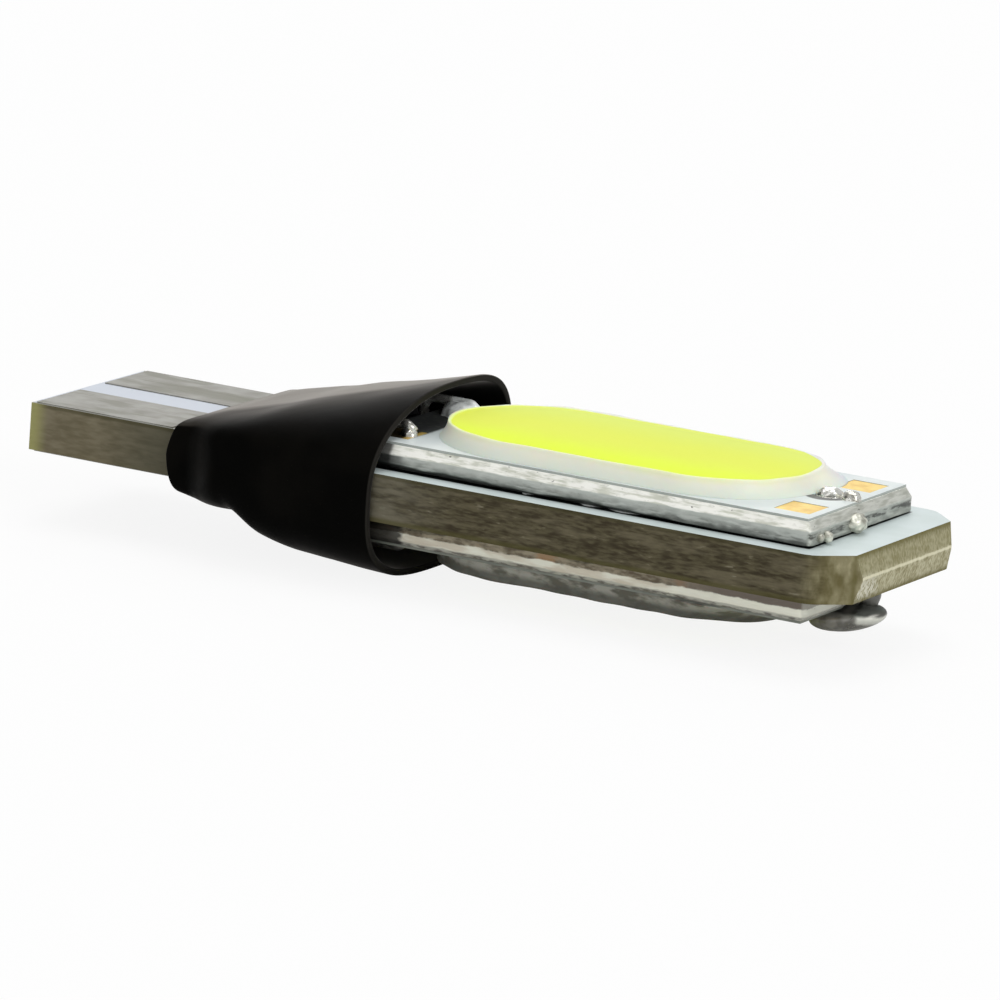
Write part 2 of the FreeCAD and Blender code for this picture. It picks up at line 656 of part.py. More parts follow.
def leaded_part(x, y, body_len, body_w, height, span, lead_w, lead_rows):
    """Black moulded part with rows of leads at both ends along X."""
    low = FACE_Z + STAND_OFF
    high = FACE_Z + height
    body = moulded_body(x, y, body_len, body_w, low, high)
    mid = (low + high) / 2
    leads = []
    for sign in (-1, 1):
        for row in lead_rows:
            root = body_len / 2 - LEAD_ROOT
            leads.append(gull_lead(x, y + row, sign, span / 2, root, lead_w, mid))
    return body.fuse(leads)


def diode(x, y):
    """Moulded diode with one broad lead at each end."""
    return leaded_part(x, y, DIODE_BODY_LEN, DIODE_W, DIODE_H, DIODE_LEN, DIODE_LEAD_W, [0])


def driver_chip():
    """Six-lead driver chip."""
    rows = [step * DRIVER_LEN / 3 for step in (-1, 0, 1)]
    return leaded_part(DRIVER_X, 0, DRIVER_W, DRIVER_LEN, DRIVER_H, DRIVER_SPAN, DRIVER_LEAD_W, rows)


def inductor_core():
    """Ferrite drum on a square foot: foot, waist and top flange."""
    foot = block(INDUCTOR_X, 0, INDUCTOR_W, INDUCTOR_W, FACE_Z, FACE_Z + INDUCTOR_FOOT_T)
    corners = [edge for edge in foot.Edges if edge.BoundBox.ZLength > INDUCTOR_FOOT_T / 2]
    foot = foot.makeChamfer(INDUCTOR_CORNER, corners)
    waist = Part.makeCylinder(WAIST_R, INDUCTOR_H, Vec(INDUCTOR_X, 0, FACE_Z))
    flange_z = FACE_Z + INDUCTOR_H - FLANGE_T
    flange = Part.makeCylinder(FLANGE_R, FLANGE_T, Vec(INDUCTOR_X, 0, flange_z))
    return foot.fuse([waist, flange]).removeSplitter()


def inductor_winding():
    """Enamelled wire wound round the waist."""
    low = FACE_Z + INDUCTOR_FOOT_T
    height = INDUCTOR_H - INDUCTOR_FOOT_T - FLANGE_T
    coil = Part.makeCylinder(WINDING_R, height, Vec(INDUCTOR_X, 0, low))
    return coil.cut(Part.makeCylinder(WAIST_R, height, Vec(INDUCTOR_X, 0, low)))


def in_row(count, pitch):
    """Places of a row of like parts, even about the middle."""
    return [(i - (count - 1) / 2) * pitch for i in range(count)]


board = core_board()
plate = led_plate()
layer = circuit_layer()
golds = gold_pads()
chips = led_chips()
ring = racetrack(bead_section)
gel = phosphor(ring, chips)
glue = adhesive()
leads = [lead(side) for side in (-1, 1)]
mouth = mouth_joints(leads, golds, layer)
nodes = {"core_board": board}

for side_name, side in (("near", -1), ("far", 1)):
    pad = contact_pad(side)
    nodes["contact_pad_top_" + side_name] = pad
    nodes["contact_pad_bottom_" + side_name] = pad.mirror(Vec(0, 0, 0), Vec(0, 0, 1))

stack = {
    "led_plate": plate,
    "circuit_layer": layer,
    "gold_pads": Part.makeCompound(golds),
    "dam": ring,
    "phosphor": gel,
    "led_chips": Part.makeCompound(chips),
    "plate_adhesive": glue,
    "mouth_leads": Part.makeCompound(leads),
    "mouth_solder": Part.makeCompound(mouth),
}
for name, shape in stack.items():
    nodes[name + "_top"] = shape
    nodes[name + "_bottom"] = flipped(shape)

nodes["tip_solder_top"] = Part.makeCompound(tip_joint_top(plate, layer, board))
nodes["tip_solder_bottom"] = tip_joint_bottom(flipped(plate), flipped(layer), board)

diodes = [diode(DIODE_X, y) for y in in_row(DIODE_COUNT, DIODE_W + DIODE_GAP)]
loads = [resistor(LOAD_X, y, False, LOAD_LEN, LOAD_W, LOAD_T) for y in in_row(2, LOAD_LEN + LOAD_GAP)]
senses = [resistor(SENSE_X, y, False, SENSE_LEN, SENSE_W, SENSE_T) for y in in_row(2, SENSE_LEN + SENSE_GAP)]
nodes["rectifier_diodes"] = Part.makeCompound(diodes)
nodes["load_resistors"] = Part.makeCompound(loads)

capacitor_x = BY_LEAD_X - LOAD_LEN / 2
freewheel_x = BY_LEAD_X - DIODE_LEN / 2
below = {
    "driver_chip": driver_chip(),
    "sense_resistors": Part.makeCompound(senses),
    "inductor_core": inductor_core(),
    "inductor_winding": inductor_winding(),
    "ceramic_capacitor": resistor(capacitor_x, SIDE_PART_Y, True, LOAD_LEN, LOAD_W, CAPACITOR_T),
    "freewheel_diode": diode(freewheel_x, -SIDE_PART_Y),
}
for name, shape in below.items():
    nodes[name] = flipped(shape)

nodes["heat_shrink_sleeve"] = heat_shrink_sleeve()

os.makedirs("parts", exist_ok=True)
for name, shape in nodes.items():
    shape.exportStep("parts/" + name + ".step")
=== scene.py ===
import math

import bpy
import numpy as np
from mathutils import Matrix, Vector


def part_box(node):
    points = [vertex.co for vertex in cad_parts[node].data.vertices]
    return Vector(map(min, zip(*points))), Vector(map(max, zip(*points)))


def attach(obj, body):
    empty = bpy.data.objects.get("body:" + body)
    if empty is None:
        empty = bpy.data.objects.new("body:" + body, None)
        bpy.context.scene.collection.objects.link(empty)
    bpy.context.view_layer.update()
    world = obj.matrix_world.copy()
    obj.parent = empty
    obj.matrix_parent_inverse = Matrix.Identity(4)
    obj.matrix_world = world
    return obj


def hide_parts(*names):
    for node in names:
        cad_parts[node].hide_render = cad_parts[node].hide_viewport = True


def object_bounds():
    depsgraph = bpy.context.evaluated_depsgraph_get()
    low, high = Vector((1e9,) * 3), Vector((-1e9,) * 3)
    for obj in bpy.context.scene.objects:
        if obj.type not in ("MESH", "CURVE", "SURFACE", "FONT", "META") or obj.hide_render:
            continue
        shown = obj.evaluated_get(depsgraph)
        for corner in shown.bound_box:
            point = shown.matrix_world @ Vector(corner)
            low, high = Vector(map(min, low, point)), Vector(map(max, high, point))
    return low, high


# A plug-in wedge-base LED bulb that lies on a white table. Its long axis runs along x from the bare tail to
# the lit tip, and z goes out of the board's upper face.
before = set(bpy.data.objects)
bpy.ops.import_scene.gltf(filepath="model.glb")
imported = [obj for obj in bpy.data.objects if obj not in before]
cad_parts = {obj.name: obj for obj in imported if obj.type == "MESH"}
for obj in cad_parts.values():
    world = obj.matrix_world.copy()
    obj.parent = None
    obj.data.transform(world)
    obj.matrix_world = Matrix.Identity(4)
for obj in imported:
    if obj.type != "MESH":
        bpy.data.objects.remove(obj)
solid_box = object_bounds()


# The camera looks at the bulb from its near side and a little above, with a long lens, as the photograph
# does. Its place and turn come from the edges of the board and the plates in the photograph.
CAMERA_AZIMUTH = math.radians(27.548)
CAMERA_ELEVATION = math.radians(12.438)
CAMERA_ROLL = math.radians(4.275)
CAMERA_PLACE = (0.179035, -0.305039, 0.075341)
CAMERA_LENS = 308.08
SENSOR = 36.0

backward = np.array([
    math.sin(CAMERA_AZIMUTH) * math.cos(CAMERA_ELEVATION),
    -math.cos(CAMERA_AZIMUTH) * math.cos(CAMERA_ELEVATION),
    math.sin(CAMERA_ELEVATION),
])
level = np.array([math.cos(CAMERA_AZIMUTH), math.sin(CAMERA_AZIMUTH), 0.0])
upright = np.cross(backward, level)
rightward = level * math.cos(CAMERA_ROLL) + upright * math.sin(CAMERA_ROLL)
upward = upright * math.cos(CAMERA_ROLL) - level * math.sin(CAMERA_ROLL)
turn = np.eye(4)
turn[:3, 0] = rightward
turn[:3, 1] = upward
turn[:3, 2] = backward
turn[:3, 3] = CAMERA_PLACE
camera_data = bpy.data.cameras.new("camera")
camera_data.lens = CAMERA_LENS
camera_data.sensor_width = SENSOR
camera_data.clip_start = 0.01
camera = bpy.data.objects.new("camera", camera_data)
bpy.context.scene.collection.objects.link(camera)
camera.matrix_world = turn.T.tolist()
bpy.context.scene.camera = camera
bpy.context.scene.view_settings.view_transform = "Standard"


# The white table, with studio light over it: a big soft lamp above, a second one behind that puts a
# sheen on the sleeve, weak wide ones in front and off the tip, and a pale room all round.
TABLE_REACH = 1.5
TABLE_GLOW = 0.88
ROOM_LIGHT = 0.40
BULB_MIDDLE = (0.019, 0.0, 0.0)
table_z = solid_box[0].z


class Wire:
    """One output of a material's nodes. Arithmetic on wires adds Math nodes."""

    def __init__(self, tree, socket=None):
        self.tree = tree
        self.socket = socket

    def add(self, kind, settings=None, inputs=None, output=0):
        """A new node: its type, its settings, which are set first, and the values or wires of its inputs."""
        node = self.tree.nodes.new("ShaderNode" + kind)
        for name, value in (settings or {}).items():
            setattr(node, name, value)
        for name, value in (inputs or {}).items():
            if isinstance(value, Wire):
                self.tree.links.new(value.socket, node.inputs[name])
            else:
                node.inputs[name].default_value = value
        return Wire(self.tree, node.outputs[output])

    def math(self, operation, *values):
        """A Math node on the values, in their order."""
        return self.add("Math", {"operation": operation}, dict(enumerate(values)))

    def __add__(self, other):
        return self.math("ADD", self, other)

    __radd__ = __add__

    def __sub__(self, other):
        return self.math("SUBTRACT", self, other)

    def __rsub__(self, other):
        return self.math("SUBTRACT", other, self)

    def __mul__(self, other):
        return self.math("MULTIPLY", self, other)

    __rmul__ = __mul__

    def __abs__(self):
        return self.math("ABSOLUTE", self)

    def rise(self, low, high):
        """0 below one value and 1 above the other, with a smooth step between them; they may be swapped."""
        steps = {"Value": self, "From Min": low, "From Max": high}
        return self.add("MapRange", {"interpolation_type": "SMOOTHSTEP"}, steps)

    def blend(self, first, second):
        """The first colour where this wire is 0, and the second where it is 1."""
        return self.add("Mix", {"data_type": "RGBA"}, {0: self, 6: first, 7: second}, output=2)


def colour(red, green, blue):
    """A display colour from 0 to 255, as the linear colour that a node takes."""
    share = np.array([red, green, blue]) / 255
    linear = np.where(share <= 0.04045, share / 12.92, ((share + 0.055) / 1.055) ** 2.4)
    return (*linear.tolist(), 1.0)


def finish(name, **constants):
    """A new material: its shader, with the given sockets set, and a first wire to build on."""
    material = bpy.data.materials.new(name)
    material.use_nodes = True
    shader = material.node_tree.nodes["Principled BSDF"]
    for socket, value in constants.items():
        shader.inputs[socket.replace("_", " ")].default_value = value
    return material, shader, Wire(material.node_tree)


def lamp(name, place, aim, size, watts):
    """A square soft lamp that looks at a point."""
    data = bpy.data.lights.new(name, "AREA")
    data.energy = watts
    data.size = size
    light = bpy.data.objects.new(name, data)
    bpy.context.scene.collection.objects.link(light)
    away = np.array(place) - np.array(aim)
    away = away / np.linalg.norm(away)
    side = np.cross((0.0, 1.0, 0.0) if abs(away[2]) > 0.99 else (0.0, 0.0, 1.0), away)
    side = side / np.linalg.norm(side)
    matrix = np.eye(4)
    matrix[:3, 0] = side
    matrix[:3, 1] = np.cross(away, side)
    matrix[:3, 2] = away
    matrix[:3, 3] = place
    light.matrix_world = matrix.T.tolist()


def white_to_eye(start, dim):
    """1 for what the camera sees, also through a clear piece, and a dimmer value for all other light."""
    rays = [start.add("LightPath", output=name) for name in ("Is Camera Ray", "Is Transmission Ray")]
    return start.math("MAXIMUM", *rays) * (1 - dim) + dim


table_mesh = bpy.data.meshes.new("table_top")
ways = ((-1, -1), (1, -1), (1, 1), (-1, 1))
corners = [(TABLE_REACH * right, TABLE_REACH * back, table_z) for right, back in ways]
table_mesh.from_pydata(corners, [], [(0, 1, 2, 3)])
table_top = bpy.data.objects.new("table_top", table_mesh)
bpy.context.scene.collection.objects.link(table_top)
white, shader, start = finish("white_table", Roughness=0.9, Base_Color=(0.86, 0.86, 0.86, 1.0))
glow = start.add("Emission", {}, {"Color": (1.0, 1.0, 1.0, 1.0), "Strength": 1.0})
lit = white_to_eye(start, 0.0) * TABLE_GLOW
surface = start.add("MixShader", {}, {0: lit, 1: Wire(start.tree, shader.outputs[0]), 2: glow})
start.tree.links.new(surface.socket, start.tree.nodes["Material Output"].inputs[0])
table_mesh.materials.append(white)

room = bpy.data.worlds.new("pale_room")
room.use_nodes = True
bpy.context.scene.world = room
start = Wire(room.node_tree)
strength = white_to_eye(start, ROOM_LIGHT)
room.node_tree.links.new(strength.socket, room.node_tree.nodes["Background"].inputs[1])
room.node_tree.nodes["Background"].inputs[0].default_value = (1.0, 1.0, 1.0, 1.0)

lamp("top_lamp", (-0.10, 0.30, 1.20), BULB_MIDDLE, 0.90, 7.0)
lamp("back_lamp", (-0.45, 0.90, 0.60), BULB_MIDDLE, 0.50, 1.6)
lamp("front_lamp", (-0.10, -1.10, 0.60), BULB_MIDDLE, 1.10, 2.6)
lamp("tip_lamp", (0.85, -0.20, 0.42), BULB_MIDDLE, 0.60, 3.6)


# The core board is 2 mm glass-fibre laminate, routed to its outline, with a pale mask on both faces. Its
# cut sides show the ends of the fibre bundles in olive resin, and its tip end was scored and snapped.
MM = 0.001
BOARD_HALF_T = 1.0
UPPER_SKIN = 0.15
LOWER_SKIN = 0.18
TAIL_END = 8.0
PALE_SPAN = (17.0, 21.5)
PALER_CORNER_SPAN = (36.3, 37.7)
TIP_CORNER = 38.30
PLATE_MID_X = sum(corner.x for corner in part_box("phosphor_top")) / 2 / MM
UNDER_PLATE = (10.64, 4.74)
MASK_EDGE_Y = 4.45
FOOT_START = 6.74
FOOT_INNER_Y = 1.00
FOOT_OUTER_Y = 4.50


def feed(shader, **wires):
    """Links wires to the shader's sockets."""
    for socket, wire in wires.items():
        wire.tree.links.new(wire.socket, shader.inputs[socket.replace("_", " ")])


def place_of(start):
    """The point on the surface, in millimetres, as a vector wire and its three numbers."""
    metres = start.add("TexCoord", output=3)
    point = start.add("VectorMath", {"operation": "SCALE"}, {0: metres, "Scale": 1 / MM})
    split = [start.add("SeparateXYZ", {}, {0: point}, output=i) for i in range(3)]
    return point, split


def grain(point, size, detail=3.0, stretch=(1.0, 1.0, 1.0), shift=0.0):
    """Cloudy noise from 0 to 1 with blotches of one size in millimetres, drawn out along each axis."""
    scale = [1 / (size * s) for s in stretch]
    spread = {"Vector": point, "Scale": scale, "Location": (shift, shift, shift)}
    moved = point.add("Mapping", {}, spread)
    return point.add("TexNoise", {}, {"Vector": moved, "Scale": 1.0, "Detail": detail})


def facing(start):
    """How far the surface looks along each axis, from -1 to 1."""
    normal = start.add("NewGeometry", output=1)
    return [start.add("SeparateXYZ", {}, {0: normal}, output=i) for i in range(3)]


def bumps(start, height, depth):
    """The surface's direction over small heights that run from 0 to 1 over a depth in millimetres."""
    return start.add("Bump", {}, {"Height": height, "Strength": 1.0, "Distance": depth * MM})


def dress(nodes, material):
    """Gives CAD nodes their finish."""
    for node in nodes:
        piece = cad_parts[node]
        piece.data.materials.clear()
        piece.data.materials.append(material)


laminate, shader, start = finish("laminate", Specular_IOR_Level=0.2)
point, (x, y, z) = place_of(start)
nx, _, nz = facing(start)
cloud = grain(point, 2.5)
patches = grain(point, 0.9, detail=4.0, stretch=(2.4, 2.4, 0.45), shift=3.0)
dashes = grain(point, 0.13, detail=3.0, stretch=(3.6, 3.6, 0.8), shift=5.0)
flakes = grain(point, 0.30, detail=5.0, stretch=(2.4, 2.4, 0.6), shift=9.0)
cut = (dashes * 0.55 + flakes * 0.45).rise(0.36, 0.64).blend(colour(54, 47, 31), colour(88, 82, 61))
cut = (patches.rise(0.46, 0.68) * 0.55).blend(cut, colour(112, 105, 84))
cut = (patches.rise(0.42, 0.28) * 0.5).blend(cut, colour(46, 38, 23))
cut = (flakes.rise(0.62, 0.74) * 0.4).blend(cut, colour(150, 144, 124))
pale = x.rise(PALE_SPAN[1], PALE_SPAN[0]) * (flakes * 0.4 + patches * 0.6).rise(0.25, 0.6)
cut = (pale * 0.5).blend(cut, colour(116, 113, 100))
upper_skin = z.rise(BOARD_HALF_T - UPPER_SKIN - 0.05, BOARD_HALF_T - UPPER_SKIN + 0.05)
cut = (upper_skin * 0.6).blend(cut, colour(62, 58, 32))
lower_skin = z + (cloud - 0.5) * 0.1
lower_skin = lower_skin.rise(LOWER_SKIN + 0.08 - BOARD_HALF_T, LOWER_SKIN - 0.08 - BOARD_HALF_T)
cut = (lower_skin * 0.7).blend(cut, colour(78, 74, 40))
tail_cut = (cloud * 0.5 + flakes * 0.5).rise(0.35, 0.65)
tail_cut = tail_cut.blend(colour(96, 89, 68), colour(122, 114, 93))
tail_cut = (x.rise(2.6, 6.4) * 0.75).blend(tail_cut, colour(72, 71, 57))
tail_cut = (upper_skin * 0.6).blend(tail_cut, colour(66, 62, 38))
tail_cut = x.rise(0.9, 0.1).blend(tail_cut, colour(150, 148, 96))
cut = (x.rise(TAIL_END + 3.0, TAIL_END) * 0.9).blend(cut, tail_cut)
blotches_and_painted_highlight = grain(point, 0.55, detail=4.0, stretch=(1.0, 1.0, 1.8), shift=1.0)
corner = blotches_and_painted_highlight.rise(0.34, 0.66).blend(colour(98, 91, 56), colour(140, 134, 103))
corner = (blotches_and_painted_highlight.rise(0.60, 0.70) * 0.5).blend(corner, colour(176, 170, 136))
# Towards the tip corner the cut side is made paler and blotchy.
cut = ((x + (blotches_and_painted_highlight - 0.5) * 1.4).rise(*PALER_CORNER_SPAN) * 0.85).blend(cut, corner)
speckle = grain(point, 0.11, detail=5.0, stretch=(1.0, 1.0, 1.8), shift=4.0)
snapped = (speckle * 0.7 + blotches_and_painted_highlight * 0.3).rise(0.34, 0.64)
snapped = snapped.blend(colour(132, 126, 92), colour(182, 178, 150))
snapped = (z.rise(0.0, 0.25) * 0.45).blend(snapped, colour(122, 118, 82))
bright = (y + (blotches_and_painted_highlight - 0.5) * 3.0).rise(-2.2, -3.6) * (z + (speckle - 0.5) * 1.6).rise(0.4, -0.3)
snapped = (bright * speckle.rise(0.36, 0.56) * 0.7).blend(snapped, colour(212, 210, 196))
skins = (abs(z) + (blotches_and_painted_highlight - 0.5) * 0.2).rise(BOARD_HALF_T - 0.20, BOARD_HALF_T - 0.04)
snapped = (skins * 0.5).blend(snapped, colour(112, 106, 56))
cut = nx.rise(0.86, 0.94).blend(cut, snapped)
ridge = nx.rise(0.9, 0.94) * abs(z - 0.03 + (blotches_and_painted_highlight - 0.5) * 0.10).rise(0.09, 0.03)
cut = (ridge * 0.7).blend(cut, colour(222, 218, 190))
band = x.rise(TIP_CORNER - 0.22, TIP_CORNER) * x.rise(TIP_CORNER + 0.10, TIP_CORNER) * nx.rise(0.3, 0.6)
cut = (band * 0.55).blend(cut, colour(84, 78, 36))
mask = cloud.rise(0.3, 0.7).blend(colour(198, 210, 208), colour(210, 221, 221))
# The mask under the plate's edge is painted near-black: painted shade in the narrow gap under the plate.
shade_under_plate = abs(y).rise(UNDER_PLATE[1] + 0.03, UNDER_PLATE[1] - 0.05)
shade_under_plate = shade_under_plate * abs(x - PLATE_MID_X).rise(UNDER_PLATE[0] + 0.03, UNDER_PLATE[0] - 0.05)
mask = shade_under_plate.blend(mask, colour(14, 16, 16))
mask = x.rise(TAIL_END, TAIL_END - 1.0).blend(mask, colour(200, 206, 216))
margin = abs(y).rise(MASK_EDGE_Y - 0.05, MASK_EDGE_Y + 0.05) * x.rise(TAIL_END, TAIL_END - 0.1)
mask = (margin * 0.8).blend(mask, colour(146, 145, 130))
tinned_foot = x.rise(FOOT_START - 0.04, FOOT_START + 0.04) * x.rise(TAIL_END, TAIL_END - 0.1)
tinned_foot = tinned_foot * abs(y).rise(FOOT_INNER_Y - 0.02, FOOT_INNER_Y + 0.02)
tinned_foot = tinned_foot * abs(y).rise(FOOT_OUTER_Y + 0.02, FOOT_OUTER_Y - 0.02)
mask = tinned_foot.blend(mask, colour(160, 158, 148))
top = abs(nz).rise(0.6, 0.9)
feed(
    shader,
    Base_Color=top.blend(cut, mask),
    Roughness=(1 - top) * 0.35 + 0.42,
    Normal=bumps(start, (dashes * 0.5 + flakes * 0.5) * (1 - top), 0.025),
)
dress(["core_board"], laminate)


# Four contact pads on the tail, tinned copper. They are dull grey with faint rubbed streaks along the
# way that the bulb slides into its holder.
RUBBED_Y = 2.5
tinned, shader, start = finish("tinned_copper", Metallic=0.3)
point, (x, y, z) = place_of(start)
cloud = grain(point, 1.3)
streaks = grain(point, 0.12, detail=2.0, stretch=(24.0, 1.0, 1.0))
tarnish = grain(point, 0.8, detail=4.0, stretch=(2.6, 1.0, 1.0), shift=6.0)
tone = cloud.rise(0.3, 0.7).blend(colour(130, 128, 120), colour(154, 153, 147))
tone = (tarnish.rise(0.46, 0.64) * 0.6).blend(tone, colour(106, 106, 90))
rubbed = (abs(abs(y) - RUBBED_Y) + (tarnish - 0.5) * 0.8).rise(0.9, 0.3)
rubbed = rubbed * x.rise(1.2, 3.0) * y.rise(0.0, 0.5)
tone = (rubbed * 0.65).blend(tone, colour(100, 100, 82))
tone = (streaks.rise(0.55, 0.75) * 0.25).blend(tone, colour(186, 185, 178))
feed(
    shader,
    Base_Color=tone,
    Roughness=cloud * 0.15 + 0.42,
    Normal=bumps(start, streaks * 0.4 + cloud * 0.6, 0.012),
)
pads = ["contact_pad_" + face + "_" + side for face in ("top", "bottom") for side in ("near", "far")]
dress(pads, tinned)


# Two aluminium plates carry the light strips. They were scored from the lit face and snapped out of a
# sheet, so each edge has a bright bevel over a torn web, whose inner edge broke away. The lower plate's
# edge is stained and has a painted highlight band. Both have painted shade near and inside the sleeve,
# and the upper plate's web has painted shade along its foot and across its ends.
PLATE_CORNER = 0.10
PLATE_HALF_LEN = 10.4
PLATE_HALF_W = 4.5
PLATE_Z = 1.05
LAYER_Z = 2.05
SCORE_OUT = 0.28
SCORE_Z = 1.67
BROKEN_STATIONS = [-10.7, -7.2, -3.5, -1.6, 0.6, 3.0, 6.0, 10.7]
BROKEN = [0.34, 0.30, 0.17, 0.12, 0.20, 0.10, 0.05, 0.03]
TEAR = 0.05
MACHINED = 0.012
FAN = 0.8
DARK_X = 17.3
SHADED_X = 18.1
CLEAN_SPAN = (29.0, 33.0)
RECESS_SHADE_Z = 1.46


def skin(name, shells, loop=False):
    """A closed mesh over shells of rings of points in millimetres, each an array of rings x points x 3.
    Each ring closes on itself. The rings are joined in order, and the last one joins the first in a loop;
    otherwise both end rings are closed by a fan round their middle point. Faces look outwards when the
    points of a ring run anticlockwise as seen from the far end of the row of rings."""
    points, faces, used = [], [], 0
    for rings in shells:
        rows, columns = rings.shape[:2]
        index = used + np.arange(rows * columns).reshape(rows, columns)
        here = index if loop else index[:-1]
        after = np.roll(index, -1, axis=0) if loop else index[1:]
        quads = np.stack([here, np.roll(here, -1, axis=1), np.roll(after, -1, axis=1), after], axis=-1)
        faces += quads.reshape(-1, 4).tolist()
        points.append(rings.reshape(-1, 3))
        used += rows * columns
        if not loop:
            points.append(np.array([rings[0].mean(axis=0), rings[-1].mean(axis=0)]))
            first = np.stack([np.roll(index[0], -1), index[0], np.full(columns, used)], axis=-1)
            last = np.stack([index[-1], np.roll(index[-1], -1), np.full(columns, used + 1)], axis=-1)
            faces += first.tolist() + last.tolist()
            used += 2
    mesh = bpy.data.meshes.new(name)
    mesh.from_pydata((np.concatenate(points) * MM).tolist(), [], faces)
    mesh.polygons.foreach_set("use_smooth", np.ones(len(faces), bool))
    mesh.update()
    piece = bpy.data.objects.new(name, mesh)
    bpy.context.scene.collection.objects.link(piece)
    return piece


def show(piece, material, slot, *nodes):
    """Gives a new piece its finish and its body, and hides the CAD nodes that it stands for."""
    piece.data.materials.append(material)
    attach(piece, "root")
    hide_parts(*nodes)


def rounded_rectangle(half_x, half_y, radius, along=150, across=64, arc=5):
    """Points round a rectangle with round corners, anticlockwise from the near left corner, as arrays of
    x and y about its middle, and of the way out. Every call with the same counts gives as many points."""
    bend = np.linspace(0, math.pi / 2, arc)[1:-1]
    parts = []
    for turn in range(4):
        long_side = (along, half_x - radius, half_y)
        short_side = (across, half_y - radius, half_x)
        count, half_side, reach = short_side if turn % 2 else long_side
        run = np.linspace(-half_side, half_side, count)
        line_x = np.concatenate([run, half_side + radius * np.sin(bend)])
        line_y = np.concatenate([np.full(count, -reach), -reach + radius - radius * np.cos(bend)])
        way_x = np.concatenate([np.zeros(count), np.sin(bend)])
        way_y = np.concatenate([np.full(count, -1.0), -np.cos(bend)])
        cos, sin = ((1, 0), (0, 1), (-1, 0), (0, -1))[turn]
        parts.append([
            line_x * cos - line_y * sin, line_x * sin + line_y * cos,
            way_x * cos - way_y * sin, way_x * sin + way_y * cos,
        ])
    return np.concatenate(parts, axis=1)


def ripple(points, size, seed):
    """Smooth unevenness from about -1 to 1: the mean of eight sines, each across its own direction, with
    wavelengths around the given size."""
    draw = np.random.default_rng(seed)
    ways = draw.normal(size=(8, 3))
    ways = ways / np.linalg.norm(ways, axis=1, keepdims=True) * draw.uniform(0.6, 1.8, (8, 1))
    phases = draw.uniform(0, 2 * math.pi, 8)
    return np.clip(np.sin(points @ ways.T * (2 * math.pi / size) + phases).mean(axis=-1) * 2, -1, 1)


def plate_rings(seed, fullness):
    """The plate from its underside to its upper face: rings round it that step out to the torn web, up
    the web and back in along the bevel, which is flat at a fullness of 1 and rounder below that. The
    web's lower edge is broken away by a height that follows the stations along the plate, and its face
    and the bevel vary with the ripple."""
    x, y, out_x, out_y = rounded_rectangle(PLATE_HALF_LEN, PLATE_HALF_W, PLATE_CORNER)
    edge = np.stack([x, y, 0 * x], axis=-1)
    broken = np.interp(x, BROKEN_STATIONS, BROKEN) * (1 + 0.35 * ripple(edge, 2.2, seed + 3))
    steps = [(-0.05, PLATE_Z, 0.0), (-0.01, PLATE_Z + 0.01, 0.0), (SCORE_OUT * 0.5, PLATE_Z + 0.01, 0.6)]
    steps += [(SCORE_OUT * 0.93, PLATE_Z + 0.01, 0.9), (SCORE_OUT, PLATE_Z + 0.05, 1.0)]
    steps += [(SCORE_OUT, PLATE_Z + (SCORE_Z - PLATE_Z) * t, 1.0 - t) for t in (0.3, 0.55, 0.8, 0.95, 1.0)]
    shares = (0.94, 0.8, 0.6, 0.4, 0.2, 0.06)
    steps += [(SCORE_OUT * t ** fullness, LAYER_Z - (LAYER_Z - SCORE_Z) * t, 0.0) for t in shares]
    steps += [(-0.01, LAYER_Z - 0.01, 0.0), (-0.05, LAYER_Z, 0.0)]
    rings = []
    for out, height, share in steps:
        around = (PLATE_MID_X + x + out_x * out, y + out_y * out, height + broken * share)
        ring = np.stack(around, axis=-1)
        torn = (out == SCORE_OUT) * (1 - abs(2 * share - 1) * 0.5)
        bite = TEAR * torn * (0.5 + 0.5 * ripple(ring, 0.7, seed))
        bite = (bite + MACHINED * (1 + ripple(ring, 1.6, seed + 1))) * (out > 0)
        ring[:, 0] -= out_x * bite
        ring[:, 1] -= out_y * bite
        rings.append(ring)
    middle = np.array([PLATE_MID_X, 0.0, 0.0])
    first, last = [(ring - middle) * (FAN, FAN, 1.0) + middle for ring in (rings[0], rings[-1])]
    return np.array([first, *rings, last])


def on_face(face, shells):
    """The shells as they are on the upper face, or turned half round about the board's long axis."""
    return [rings * (1, -1, -1) for rings in shells] if face == "bottom" else shells


def lower_side(z):
    """1 on the lower half of the bulb, and 0 on the upper half."""
    return z.rise(0.0, -0.5)


aluminium, shader, start = finish("plate_aluminium", Metallic=0.4)
point, (x, y, z) = place_of(start)
nx = facing(start)[0]
long_way = grain(point, 0.13, detail=3.0, stretch=(7.0, 1.0, 1.0))
cross_way = grain(point, 0.13, detail=3.0, stretch=(1.0, 7.0, 1.0))
ends = abs(nx).rise(0.4, 0.7)
streaks = long_way * (1 - ends) + cross_way * ends
cloud = grain(point, 0.9, detail=4.0)
mottle = grain(point, 0.30, detail=4.0, stretch=(1.8, 1.8, 0.7), shift=8.0)
pits = grain(point, 0.12, detail=2.0, stretch=(2.2, 2.2, 1.0), shift=5.0).rise(0.70, 0.76)
bevel = (streaks * 0.6 + cloud * 0.4).rise(0.38, 0.56).blend(colour(212, 214, 200), colour(255, 255, 248))
bevel = (mottle.rise(0.60, 0.72) * 0.4).blend(bevel, colour(178, 180, 168))
end_bevel = streaks.rise(0.30, 0.68).blend(colour(164, 166, 157), colour(194, 196, 187))
bevel = (ends * 0.75).blend(bevel, end_bevel)
height = abs(z)
